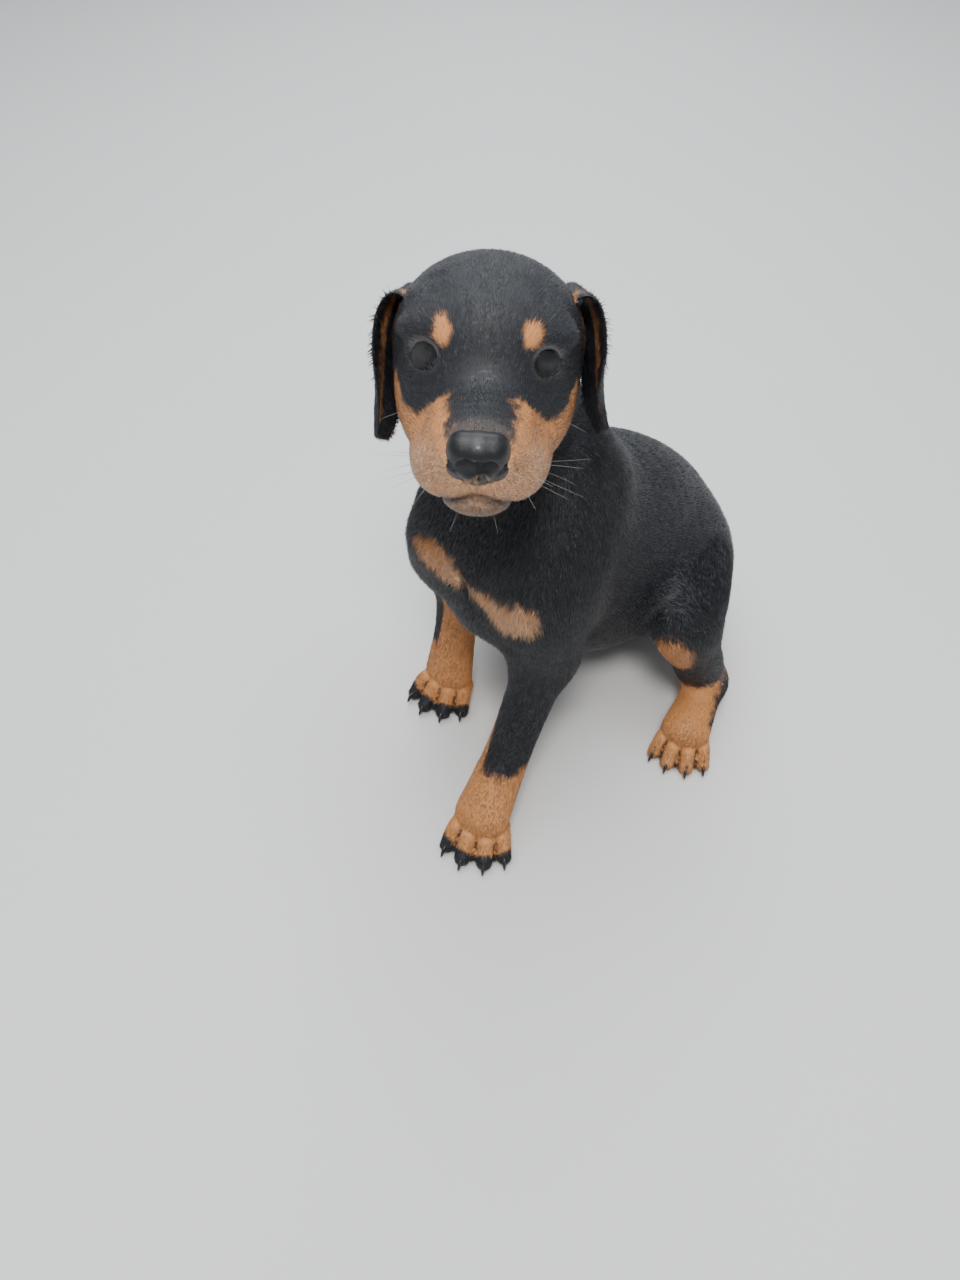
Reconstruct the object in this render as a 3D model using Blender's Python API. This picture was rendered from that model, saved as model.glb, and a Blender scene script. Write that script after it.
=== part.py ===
"""A Doberman pinscher puppy of about six weeks, sitting, life size, as a still model.

The flesh is modelled whole from oval tubes and ovals that melt into each other, and is then
parted with thin cuts into named pieces. Sizes are metres. The pose is laid out with the
breastbone over X = 0, Y = 0, the body facing -Y, its left side towards +X and the floor at
Z = 0. The finished pieces are then shifted so that the origin is the middle of the base.
"""

import math

import bmesh
import bpy
import numpy as np
from mathutils import Matrix, Vector

MM = 0.001
GAP = 0.3 * MM

# How fine the flesh is meshed, and how many triangles it keeps before it is parted.
VOXEL = 2.6 * MM
FLESH_TRIANGLES = 7200
SHARP_ANGLE = math.radians(50)

# The head: its middle, at eye level between the temples, and how it is turned.
HEAD_PLACE = Vector((-0.007, 0.024, 0.266))
HEAD_TURN = math.radians(37.5)
HEAD_LIFT = math.radians(21.0)
HEAD_TILT = math.radians(2.0)
SKULL_HALF_WIDTH = 42 * MM
EYE_MM = (22, -21.5, 0)
EYE_RADIUS_MM = 8.5
LID_MM = 1.8
EYE_OPENING_MM = (6.2, 5, 6.2)
EYE_OPENING_RISE_MM = 0.8
EAR_THICKNESS = 3.2 * MM
EAR_CUP = 4 * MM
EAR_GAP = 0.45 * MM
MOUTH_GROOVE = 1.2 * MM

PAW_WIDTH = 33.5 * MM
HIND_PAW_WIDTH = 30.5 * MM
TOES = 4
SIDES = {"left": 1, "right": -1}


def blend_stations(stations, steps):
    """Rows of place, half width and half depth along a smooth curve through the stations."""
    rows = np.array([[*place, wide, deep] for place, wide, deep in stations])
    before = np.vstack([2 * rows[0] - rows[1], rows, 2 * rows[-1] - rows[-2]])
    out = []
    for i in range(len(rows) - 1):
        a, b, c, d = before[i : i + 4]
        for t in np.arange(steps) / steps:
            out.append(
                0.5
                * (
                    2 * b
                    + (c - a) * t
                    + (2 * a - 5 * b + 4 * c - d) * t**2
                    + (3 * b - a - 3 * c + d) * t**3
                )
            )
    out.append(rows[-1])
    return np.array(out)


class Tube:
    """A limb-like form: a smooth path with an oval section at each station."""

    def __init__(self, stations, side=(1, 0, 0), steps=4):
        rows = blend_stations(stations, steps)
        self.places, self.wide, self.deep = rows[:, :3], rows[:, 3], rows[:, 4]
        self.runs = np.diff(self.places, axis=0)
        self.lengths = np.linalg.norm(self.runs, axis=1)
        self.along = self.runs / self.lengths[:, None]
        across = np.array(side, float) - self.along * (self.along @ np.array(side, float))[:, None]
        self.across = across / np.linalg.norm(across, axis=1)[:, None]
        self.up = np.cross(self.along, self.across)
        reach = float(max(self.wide.max(), self.deep.max()))
        self.low, self.high = self.places.min(0) - reach, self.places.max(0) + reach

    def distance(self, points):
        """How far each point is from the form's surface, less than zero inside."""
        offset = points[:, None, :] - self.places[None, :-1]
        share = np.einsum("nsk,sk->ns", offset, self.runs) / self.lengths**2
        share = share.clip(0, 1)
        offset = offset - share[:, :, None] * self.runs
        wide = self.wide[:-1] + share * np.diff(self.wide)
        deep = self.deep[:-1] + share * np.diff(self.deep)
        x = np.einsum("nsk,sk->ns", offset, self.across) / wide
        y = np.einsum("nsk,sk->ns", offset, self.up) / deep
        z = np.einsum("nsk,sk->ns", offset, self.along) * 2 / (wide + deep)
        span = np.linalg.norm(offset, axis=2) + 1e-9
        ratio = np.sqrt(x * x + y * y + z * z) + 1e-12
        return (span - span / ratio).min(axis=1)

    def rough(self, mesh):
        """Adds overlapping balls that fill the form, for the first rough mesh."""
        for i, place in enumerate(self.places):
            run = min(i, len(self.runs) - 1)
            turn = Matrix((self.across[run], self.up[run], self.along[run])).transposed()
            size = (self.wide[i], self.deep[i], (self.wide[i] + self.deep[i]) / 2)
            matrix = Matrix.Translation(place) @ turn.to_4x4() @ Matrix.Diagonal((*size, 1))
            bmesh.ops.create_icosphere(mesh, subdivisions=2, radius=1, matrix=matrix)


class Oval:
    """An egg-like form with three radii, turned by a matrix."""

    def __init__(self, place, radii, turn=None):
        self.place, self.radii = np.array(place, float), np.array(radii, float)
        self.turn = np.array(turn or Matrix.Identity(3), float)
        reach = float(self.radii.max())
        self.low, self.high = self.place - reach, self.place + reach

    def distance(self, points):
        """How far each point is from the form's surface, less than zero inside."""
        offset = points - self.place
        span = np.linalg.norm(offset, axis=1) + 1e-9
        ratio = np.linalg.norm((offset @ self.turn) / self.radii, axis=1) + 1e-12
        return span - span / ratio

    def rough(self, mesh):
        """Adds one ball that fills the form."""
        scale = Matrix.Diagonal((*self.radii, 1))
        matrix = Matrix.Translation(self.place) @ Matrix(self.turn).to_4x4() @ scale
        bmesh.ops.create_icosphere(mesh, subdivisions=3, radius=1, matrix=matrix)


class Flesh:
    """Forms that melt together, each with its own softness where it meets the rest."""

    FAR = 1.0
    MARGIN = 0.03
    STEP = 0.05 * MM

    def __init__(self):
        self.forms = []

    def add(self, form, soft):
        """Joins a form to the flesh, with a fillet about as wide as soft."""
        self.forms.append((form, soft, 1))

    def carve(self, form, soft):
        """Takes a form out of the flesh, with its rim rounded over about soft."""
        self.forms.append((form, soft, -1))

    def distance(self, points):
        """How far each point is from the skin, less than zero inside."""
        total = np.full(len(points), self.FAR)
        for form, soft, sense in self.forms:
            near = ((points > form.low - self.MARGIN) & (points < form.high + self.MARGIN)).all(1)
            if not near.any():
                continue
            away = form.distance(points[near])
            here = total[near] * sense
            overlap = (soft - np.abs(here - away)).clip(0) / soft
            total[near] = sense * (np.minimum(here, away) - overlap**2 * soft / 4)
        return total

    def slope(self, points, here):
        """The direction in which the distance grows fastest, at each point."""
        rises = [self.distance(points + step) - here for step in np.eye(3) * self.STEP]
        return np.stack(rises, axis=1) / self.STEP

    def settle(self, points, rounds=4, most=2 * MM):
        """Moves points onto the skin."""
        for _ in range(rounds):
            here = self.distance(points)
            slope = self.slope(points, here)
            step = slope * (here / (slope**2).sum(1).clip(0.05))[:, None]
            long = np.linalg.norm(step, axis=1).clip(1e-12)
            points = points - step * np.minimum(1, most / long)[:, None]
        return points


def head_matrix():
    """The head's own frame, +X its left, +Y its back and +Z its crown, in the body's frame."""
    turn = Matrix.Rotation(HEAD_TURN, 3, "Z")
    lift = Matrix.Rotation(-HEAD_LIFT, 3, "X")
    tilt = Matrix.Rotation(HEAD_TILT, 3, "Y")
    return Matrix.Translation(HEAD_PLACE) @ (turn @ lift @ tilt).to_4x4()


def in_head(*place_mm):
    """A place in the head's frame, in millimetres, as a place in the body's frame."""
    return head_matrix() @ (Vector(place_mm) * MM)


def head_axis(*direction):
    """A direction in the head's frame as one in the body's frame."""
    return head_matrix().to_3x3() @ Vector(direction)


def head_tube(stations_mm, side=(1, 0, 0), steps=4):
    """A tube whose stations are given in the head's frame, in millimetres."""
    stations = [(in_head(*row[:3]), row[3] * MM, row[4] * MM) for row in stations_mm]
    return Tube(stations, head_axis(*side), steps)


def head_oval(place_mm, radii_mm):
    """An oval given in the head's frame, in millimetres."""
    radii = [size * MM for size in radii_mm]
    return Oval(in_head(*place_mm), radii, head_matrix().to_3x3())


def upper_head_forms(flesh):
    """The skull, brows, cheeks, lid bulges, muzzle and upper lips."""
    skull = SKULL_HALF_WIDTH / MM
    flesh.add(head_oval((0, 10, 2), (skull, 46, 36)), 10 * MM)
    flesh.add(head_oval((0, -12, 10), (27, 21, 18)), 16 * MM)
    for sign in (1, -1):
        flesh.add(head_oval((26 * sign, -3, -22), (12.5, 24, 19)), 14 * MM)
    muzzle = [
        (0, -14, -14, 27, 18),
        (0, -34, -19, 22.5, 17),
        (0, -53, -24, 21, 15.5),
        (0, -62.5, -25.5, 18.5, 13),
    ]
    flesh.add(head_tube(muzzle), 14 * MM)
    for sign in (1, -1):
        lip = [
            (18.5 * sign, -18, -33, 12, 12),
            (17 * sign, -40, -35.5, 12, 12.5),
            (13.5 * sign, -55, -36, 11.5, 11),
            (8.2 * sign, -62.5, -35.6, 8.5, 9.2),
        ]
        flesh.add(head_tube(lip), 8 * MM)
        flesh.add(head_oval((23 * sign, -21, 11), (13, 8, 6)), 9 * MM)
        radius = EYE_RADIUS_MM + LID_MM
        flesh.add(head_oval((EYE_MM[0] * sign, *EYE_MM[1:]), (radius, radius, radius)), 4 * MM)


def jaw_forms(flesh):
    """The lower jaw and the chin."""
    jaw = [(0, 4, -37, 22, 12), (0, -28, -43, 19, 10), (0, -52, -45.5, 15.5, 8), (0, -60.5, -45.5, 12.5, 6.5)]
    flesh.add(head_tube(jaw), 2 * MM)


NOSE_FORMS_MM = (
    ((0, -72.5, -22.5), (9, 8, 8)),
    ((6.2, -71.5, -22), (6, 7.4, 7.2)),
    ((-6.2, -71.5, -22), (6, 7.4, 7.2)),
    ((0, -72, -28), (9, 6.5, 6)),
)


def nose_forms(flesh):
    """The nose leather: a middle boss, two wings and the part below the nostrils."""
    for place, radii in NOSE_FORMS_MM:
        flesh.add(head_oval(place, radii), 2.5 * MM)


NECK = (
    (Vector((-0.022, 0.046, 0.236)), 33 * MM, 34 * MM),
    (Vector((-0.013, 0.052, 0.205)), 37 * MM, 39 * MM),
    (Vector((-0.003, 0.062, 0.168)), 44 * MM, 46 * MM),
)

TORSO = (
    (Vector((0, 0.040, 0.146)), 42 * MM, 40 * MM),
    (Vector((0, 0.066, 0.130)), 52 * MM, 52 * MM),
    (Vector((0, 0.098, 0.111)), 59 * MM, 58 * MM),
    (Vector((0, 0.130, 0.090)), 62 * MM, 60 * MM),
    (Vector((0, 0.158, 0.067)), 58 * MM, 57 * MM),
    (Vector((0, 0.174, 0.048)), 47 * MM, 48 * MM),
)

BRISKET = (Vector((0, 0.034, 0.117)), (31 * MM, 34 * MM, 31 * MM))
BELLY = (Vector((0, 0.110, 0.078)), (55 * MM, 59 * MM, 57 * MM))
BUTTOCK = (Vector((0.030, 0.172, 0.035)), (28 * MM, 34 * MM, 37 * MM))

TAIL = (
    (Vector((0, 0.200, 0.060)), 12 * MM, 12 * MM),
    (Vector((0, 0.228, 0.049)), 9 * MM, 9 * MM),
    (Vector((0, 0.246, 0.040)), 6 * MM, 6 * MM),
)

# Each leg: its joints from the body down, the knuckles at the root of the toes, and the way
# the toes point, in degrees from straight ahead towards the left.
FORELEGS = {
    "left": {
        "blade": Vector((0.026, 0.058, 0.182)),
        "shoulder": Vector((0.034, 0.024, 0.140)),
        "elbow": Vector((0.035, 0.025, 0.092)),
        "wrist": Vector((0.039, -0.013, 0.040)),
        "knuckles": Vector((0.0445, -0.041, 0.018)),
        "heading": math.radians(27),
    },
    "right": {
        "blade": Vector((-0.026, 0.060, 0.182)),
        "shoulder": Vector((-0.035, 0.028, 0.142)),
        "elbow": Vector((-0.044, 0.047, 0.090)),
        "wrist": Vector((-0.042, 0.036, 0.042)),
        "knuckles": Vector((-0.038, 0.025, 0.017)),
        "heading": math.radians(15),
    },
}

HINDLEGS = {
    "left": {
        "hip": Vector((0.045, 0.156, 0.070)),
        "knee": Vector((0.077, 0.104, 0.077)),
        "hock": Vector((0.091, 0.125, 0.0145)),
        "knuckles": Vector((0.101, 0.085, 0.0155)),
        "heading": math.radians(21),
    },
    "right": {
        "hip": Vector((-0.045, 0.156, 0.070)),
        "knee": Vector((-0.064, 0.102, 0.077)),
        "hock": Vector((-0.066, 0.150, 0.0145)),
        "knuckles": Vector((-0.069, 0.112, 0.0155)),
        "heading": math.radians(-8),
    },
}


def foreleg_forms(flesh, leg):
    """The shoulder, upper arm and forearm, down to the root of the toes."""
    arm = [
        (leg["blade"], 16 * MM, 24 * MM),
        (leg["shoulder"], 21 * MM, 27 * MM),
        (leg["elbow"], 17.5 * MM, 21 * MM),
    ]
    flesh.add(Tube(arm), 22 * MM)
    forearm = [
        (leg["elbow"], 16 * MM, 18 * MM),
        (leg["elbow"].lerp(leg["wrist"], 0.5), 14 * MM, 15 * MM),
        (leg["wrist"], 13.5 * MM, 13 * MM),
        (leg["knuckles"], 16.5 * MM, 11 * MM),
    ]
    flesh.add(Tube(forearm), 10 * MM)


def hindleg_forms(flesh, leg):
    """The thigh, shank and instep, down to the root of the toes."""
    thigh = [
        (leg["hip"], 30 * MM, 40 * MM),
        (leg["hip"].lerp(leg["knee"], 0.55), 26 * MM, 34 * MM),
        (leg["knee"], 18 * MM, 22 * MM),
    ]
    flesh.add(Tube(thigh, side=(0.75, 0.6, 0.2)), 18 * MM)
    shank = [
        (leg["knee"], 17 * MM, 19 * MM),
        (leg["knee"].lerp(leg["hock"], 0.55), 15 * MM, 17 * MM),
        (leg["hock"], 11.5 * MM, 13 * MM),
    ]
    flesh.add(Tube(shank), 10 * MM)
    instep = [
        (leg["hock"], 12 * MM, 13 * MM),
        (leg["hock"].lerp(leg["knuckles"], 0.5), 13 * MM, 12.5 * MM),
        (leg["knuckles"], 15 * MM, 11 * MM),
    ]
    flesh.add(Tube(instep), 8 * MM)


class Paw:
    """The four toes of a paw and their claws, spread from the knuckles."""

    REACH = (0.50, 0.66, 0.66, 0.50)
    SIDE = (-0.36, -0.13, 0.13, 0.36)
    SPLAY = (-15, -5, 5, 15)

    def __init__(self, name, leg, width):
        self.name, self.root, self.width = name, leg["knuckles"], width
        self.heading = leg["heading"]

    def direction(self, extra=0.0):
        """The way a toe points on the floor."""
        angle = self.heading + extra
        return Vector((math.sin(angle), -math.cos(angle), 0))

    def toe(self, number):
        """A toe's root, knuckle and tip."""
        ahead = self.direction(math.radians(self.SPLAY[number]))
        left = Vector((math.cos(self.heading), math.sin(self.heading), 0))
        base = self.root + left * self.SIDE[number] * self.width
        base.z = 0.30 * self.width
        reach = self.REACH[number] * self.width
        knuckle = base + ahead * reach * 0.55
        knuckle.z = 0.33 * self.width
        tip = base + ahead * reach
        tip.z = 0.155 * self.width
        return base, knuckle, tip, ahead

    def forms(self, flesh):
        """The pad under the paw and the toes."""
        middle = self.root + self.direction() * 0.10 * self.width
        middle.z = 0.20 * self.width
        turn = Matrix.Rotation(self.heading, 3, "Z")
        radii = (0.42 * self.width, 0.42 * self.width, 0.24 * self.width)
        flesh.add(Oval(middle, radii, turn), 5 * MM)
        for number in range(TOES):
            base, knuckle, tip, _ = self.toe(number)
            size = self.width * (0.138 if number in (0, 3) else 0.148)
            stations = [(base, size, size), (knuckle, size, size), (tip, size, size * 0.98)]
            flesh.add(Tube(stations, side=(1, 0.3, 0)), 1.6 * MM)

    def claw_stations(self, number):
        """A claw's path and thickness, from its root in the toe to its tip."""
        _, _, tip, ahead = self.toe(number)
        down = Vector((0, 0, -1))
        root = tip + ahead * 0.06 * self.width + Vector((0, 0, 0.045 * self.width))
        end = root + ahead * 0.17 * self.width + down * 0.13 * self.width
        middle = root.lerp(end, 0.5) + Vector((0, 0, 0.022 * self.width))
        thick = 0.037 * self.width
        return [(root, thick, thick), (middle, thick * 0.85, thick * 0.85), (end, thick * 0.3, thick * 0.3)]


def all_flesh(paws):
    """Every form of the flesh, from the torso out."""
    flesh = Flesh()
    flesh.add(Tube(TORSO), 10 * MM)
    flesh.add(Oval(*BELLY), 20 * MM)
    flesh.add(Oval(*BRISKET), 16 * MM)
    for sign in SIDES.values():
        place, radii = BUTTOCK
        flesh.add(Oval((place.x * sign, place.y, place.z), radii), 14 * MM)
    flesh.add(Tube(NECK), 26 * MM)
    for leg in HINDLEGS.values():
        hindleg_forms(flesh, leg)
    for leg in FORELEGS.values():
        foreleg_forms(flesh, leg)
    flesh.add(Tube(TAIL), 8 * MM)
    head = Flesh()
    upper_head_forms(head)
    jaw_forms(head)
    nose_forms(head)
    flesh.add(Group(head), 18 * MM)
    for paw in paws:
        paw.forms(flesh)
    return flesh


class Group:
    """Flesh that melts together by itself first, so that it joins the rest as one form."""

    def __init__(self, flesh):
        self.flesh = flesh
        self.low = np.min([form.low for form, _, _ in flesh.forms], axis=0)
        self.high = np.max([form.high for form, _, _ in flesh.forms], axis=0)

    def distance(self, points):
        """How far each point is from the group's surface, less than zero inside."""
        return self.flesh.distance(points)

    def rough(self, mesh):
        """Adds balls that fill each form of the group."""
        for form, _, sense in self.flesh.forms:
            if sense > 0:
                form.rough(mesh)


def evaluated(obj):
    """A plain mesh of the object with its modifiers applied."""
    graph = bpy.context.evaluated_depsgraph_get()
    return bpy.data.meshes.new_from_object(obj.evaluated_get(graph))


def bake(obj):
    """Applies the object's modifiers."""
    mesh = evaluated(obj)
    old = obj.data
    obj.modifiers.clear()
    obj.data = mesh
    if old.users == 0:
        bpy.data.meshes.remove(old)


def new_object(name, mesh=None):
    """An object in the scene, with an empty mesh unless one is given."""
    obj = bpy.data.objects.new(name, mesh or bpy.data.meshes.new(name))
    bpy.context.scene.collection.objects.link(obj)
    return obj


def coordinates(mesh):
    """A mesh's points, as an array."""
    points = np.empty(len(mesh.vertices) * 3)
    mesh.vertices.foreach_get("co", points)
    return points.reshape(-1, 3)


def move_points(mesh, points):
    """Gives a mesh new places for its points."""
    mesh.vertices.foreach_set("co", points.ravel())
    mesh.update()


def flesh_object(flesh):
    """One closed mesh of the whole flesh, light enough to be parted."""
    rough = bmesh.new()
    for form, _, sense in flesh.forms:
        if sense > 0:
            form.rough(rough)
    body = new_object("flesh")
    rough.to_mesh(body.data)
    rough.free()
    remesh = body.modifiers.new("Remesh", "REMESH")
    remesh.mode = "VOXEL"
    remesh.voxel_size = VOXEL
    bake(body)
    move_points(body.data, flesh.settle(coordinates(body.data)))
    smooth = body.modifiers.new("Smooth", "SMOOTH")
    smooth.factor = 0.4
    smooth.iterations = 2
    bake(body)
    move_points(body.data, flesh.settle(coordinates(body.data), rounds=1))
    body.data.calc_loop_triangles()
    decimate = body.modifiers.new("Decimate", "DECIMATE")
    decimate.ratio = FLESH_TRIANGLES / len(body.data.loop_triangles)
    bake(body)
    return body


def boolean(obj, other, operation, solver="MANIFOLD"):
    """Joins, cuts or keeps what is common, and applies it."""
    modifier = obj.modifiers.new(operation.title(), "BOOLEAN")
    modifier.operation = operation
    modifier.object = other
    modifier.solver = solver
    bake(obj)
    keep_largest(obj)


def keep_largest(obj):
    """Drops every loose scrap of a cut but the largest closed surface."""
    mesh = bmesh.new()
    mesh.from_mesh(obj.data)
    bmesh.ops.triangulate(mesh, faces=mesh.faces)
    unseen = set(mesh.verts)
    islands = []
    while unseen:
        island, todo = set(), [unseen.pop()]
        while todo:
            vert = todo.pop()
            island.add(vert)
            for edge in vert.link_edges:
                other = edge.other_vert(vert)
                if other in unseen:
                    unseen.discard(other)
                    todo.append(other)
        islands.append(island)
    islands.sort(key=len, reverse=True)
    for island in islands[1:]:
        bmesh.ops.delete(mesh, geom=list(island), context="VERTS")
    mesh.to_mesh(obj.data)
    mesh.free()


def remove(*objects):
    """Takes helpers out of the file."""
    for obj in objects:
        bpy.data.objects.remove(obj)


def part_off(body, name, cutter):
    """Cuts a named piece off the body along the cutter's surface, leaving a thin gap.

    cutter is a function that makes the cutting solid, grown by the length it is given.
    """
    piece = new_object(name, body.data.copy())
    inner = cutter(-GAP / 2)
    boolean(piece, inner, "INTERSECT")
    outer = cutter(GAP / 2)
    boolean(body, outer, "DIFFERENCE")
    remove(inner, outer)
    return piece


def half_space(place, normal, size=0.5):
    """A cutter maker: a large box whose face passes through place, on the side of normal."""

    def make(grow):
        box = new_object("cutter")
        mesh = bmesh.new()
        bmesh.ops.create_cube(mesh, size=size)
        turn = Vector((0, 0, 1)).rotation_difference(normal).to_matrix().to_4x4()
        shift = Matrix.Translation(Vector((0, 0, size / 2 - grow)))
        bmesh.ops.transform(mesh, matrix=Matrix.Translation(place) @ turn @ shift, verts=mesh.verts)
        bmesh.ops.triangulate(mesh, faces=mesh.faces)
        mesh.to_mesh(box.data)
        mesh.free()
        return box

    return make


def oval_cutter(place, radii, turn, subdivisions=2):
    """A cutter maker: an egg-shaped solid."""

    def make(grow):
        ball = new_object("cutter")
        mesh = bmesh.new()
        scale = Matrix.Diagonal((*(size + grow for size in radii), 1))
        matrix = Matrix.Translation(place) @ turn.to_4x4() @ scale
        bmesh.ops.create_icosphere(mesh, subdivisions=subdivisions, radius=1, matrix=matrix)
        mesh.to_mesh(ball.data)
        mesh.free()
        return ball

    return make


def loft(stations, side=(1, 0, 0), sides=12, steps=2, ends=(0.45, 0.85)):
    """A closed tube mesh with rounded ends, built ring by ring."""
    tube = Tube(stations, side, steps)
    rows = []
    last = len(tube.places) - 1
    for i, place in enumerate(tube.places):
        run = min(i, last - 1)
        rows.append((Vector(place), run, tube.wide[i], tube.deep[i], 0.0))
    start, end = rows[0], rows[-1]
    cap = [(*start[:2], start[2] * math.sqrt(1 - t * t), start[3] * math.sqrt(1 - t * t), -t) for t in reversed(ends)]
    cup = [(*end[:2], end[2] * math.sqrt(1 - t * t), end[3] * math.sqrt(1 - t * t), t) for t in ends]
    mesh = bmesh.new()
    rings = []
    for place, run, wide, deep, push in cap + rows + cup:
        base = start if push < 0 else end
        reach = (base[2] + base[3]) / 2
        centre = place + Vector(tube.along[run]) * push * reach
        turn = Matrix((tube.across[run], tube.up[run], tube.along[run])).transposed().to_4x4()
        matrix = Matrix.Translation(centre) @ turn @ Matrix.Diagonal((wide, deep, 1, 1))
        made = bmesh.ops.create_circle(mesh, segments=sides, radius=1, matrix=matrix)
        rings.append(made["verts"])
    for lower, upper in zip(rings, rings[1:]):
        for i in range(sides):
            j = (i + 1) % sides
            mesh.faces.new((lower[i], lower[j], upper[j], upper[i]))
    mesh.faces.new(list(reversed(rings[0])))
    mesh.faces.new(rings[-1])
    bmesh.ops.triangulate(mesh, faces=mesh.faces)
    bmesh.ops.recalc_face_normals(mesh, faces=mesh.faces)
    return mesh


def tube_cutter(stations, side=(1, 0, 0), sides=12, steps=2):
    """A cutter maker: a closed tube along stations."""

    def make(grow):
        tube = new_object("cutter")
        grown = [(place, wide + grow, deep + grow) for place, wide, deep in stations]
        mesh = loft(grown, side, sides, steps)
        mesh.to_mesh(tube.data)
        mesh.free()
        return tube

    return make


def cut_flats(body):
    """Cuts the underside level at the floor, which leaves flats where the body rests."""
    floor = half_space(Vector((0, 0, 0)), Vector((0, 0, -1)))(0)
    boolean(body, floor, "DIFFERENCE")
    remove(floor)


def crease(upper, lower, seeds, rounds=12):
    """Points where two fleshes' surfaces meet, found by moving between the two."""
    points = np.array(seeds)
    for _ in range(rounds):
        points = lower.settle(upper.settle(points, rounds=1), rounds=1)
    return points


def mouth_line():
    """The line along which the lips meet, from the left corner to the right."""
    upper, lower, whole = Flesh(), Flesh(), Flesh()
    upper_head_forms(upper)
    jaw_forms(lower)
    upper_head_forms(whole)
    jaw_forms(whole)
    seeds = []
    for share in np.linspace(1, -1, 19):
        bend = abs(share)
        seeds.append(in_head(25 * share, -70 + 40 * bend**1.8, -41 - 3 * bend))
    return whole.settle(crease(upper, lower, seeds))


def groove(path, thickness, side=(0, 0, 1)):
    """A thin closed tube along a path, to cut a line with."""
    stations = [(Vector(place), thickness, thickness) for place in path]
    tube = new_object("cutter")
    mesh = loft(stations, side, sides=8, steps=1)
    mesh.to_mesh(tube.data)
    mesh.free()
    return tube


def cut_mouth(head):
    """Cuts the line of the mouth and the groove down the middle of the upper lip."""
    line = groove(mouth_line(), MOUTH_GROOVE)
    boolean(head, line, "DIFFERENCE")
    middle = [in_head(0, -74, -31), in_head(0, -72.5, -36), in_head(0, -70, -42)]
    philtrum = groove(middle, 0.9 * MM, side=(1, 0, 0))
    boolean(head, philtrum, "DIFFERENCE")
    remove(line, philtrum)


def make_nose(body):
    """Parts the nose leather off the head and cuts the nostrils."""
    turn = head_matrix().to_3x3()
    radii = (12.6 * MM, 10 * MM, 11.2 * MM)
    nose = part_off(body, "nose", oval_cutter(in_head(0, -77.5, -25), radii, turn))
    for sign in (1, -1):
        path = [
            in_head(4.8 * sign, -80.0, -25.0),
            in_head(5.6 * sign, -78.2, -26.6),
            in_head(8.4 * sign, -76.6, -26.6),
            in_head(12.0 * sign, -73.4, -24.2),
        ]
        radii = (1.6 * MM, 2.3 * MM, 1.9 * MM, 1.0 * MM)
        stations = [(place, radius, radius) for place, radius in zip(path, radii)]
        hole = tube_cutter(stations, sides=8)(0)
        boolean(nose, hole, "DIFFERENCE")
        remove(hole)
    slit = groove([in_head(0, -81.2, -24), in_head(0, -80.5, -27), in_head(0, -76, -33)], 0.7 * MM, (1, 0, 0))
    boolean(nose, slit, "DIFFERENCE")
    remove(slit)
    return nose


def make_eye(body, side):
    """A round eye, its socket and the opening between the lids."""
    sign = SIDES[side]
    eye = new_object(f"eye_{side}")
    centre = in_head(EYE_MM[0] * sign, *EYE_MM[1:])
    mesh = bmesh.new()
    gaze = head_axis(2 * sign, -8.5, 0).to_track_quat("Z", "Y").to_matrix().to_4x4()
    matrix = Matrix.Translation(centre) @ gaze
    bmesh.ops.create_uvsphere(mesh, u_segments=18, v_segments=10, radius=EYE_RADIUS_MM * MM, matrix=matrix)
    bmesh.ops.triangulate(mesh, faces=mesh.faces)
    mesh.to_mesh(eye.data)
    mesh.free()
    turn = head_matrix().to_3x3()
    rise = EYE_MM[2] + EYE_OPENING_RISE_MM
    opening_mm = (EYE_MM[0] * sign + 2 * sign, EYE_MM[1] - EYE_RADIUS_MM, rise)
    radii = [size * MM for size in EYE_OPENING_MM]
    opening = oval_cutter(in_head(*opening_mm), radii, turn)(0)
    boolean(body, opening, "DIFFERENCE")
    radius = EYE_RADIUS_MM * MM
    socket = oval_cutter(centre, (radius, radius, radius), turn, subdivisions=3)(GAP)
    boolean(body, socket, "DIFFERENCE")
    remove(socket, opening)
    return eye


# Each ear's path from its root in the skull over the fold and down to its tip, with its half
# width, in the head's frame. The left one lies a little farther out, as it does in life.
EARS_MM = {
    "left": (
        (26, 16, 12, 9),
        (31.5, 16, 19.5, 11.5),
        (36.5, 16, 21.8, 14.5),
        (40.8, 15.5, 19, 17.2),
        (43.8, 14, 11, 19),
        (45.9, 11.5, 0, 19.5),
        (47, 8.5, -11, 18),
        (48.4, 5, -20, 14.5),
        (50.5, 1, -27, 9.5),
        (52.5, -2.5, -31.5, 4),
    ),
    "right": (
        (26, 16, 9, 9),
        (31.5, 16, 15.8, 11.5),
        (36.2, 16, 18, 14.5),
        (40.2, 15.5, 15.5, 17.2),
        (43, 13.8, 8, 19),
        (44.4, 11, -5, 19.5),
        (44.6, 8.5, -17, 18),
        (44.8, 6, -27, 15),
        (45.2, 2.5, -36, 10),
        (45.8, -0.5, -42, 4),
    ),
}
# How far an ear's front edge swings out from the head, for each unit of its width.
EAR_SWING = 0.26


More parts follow.
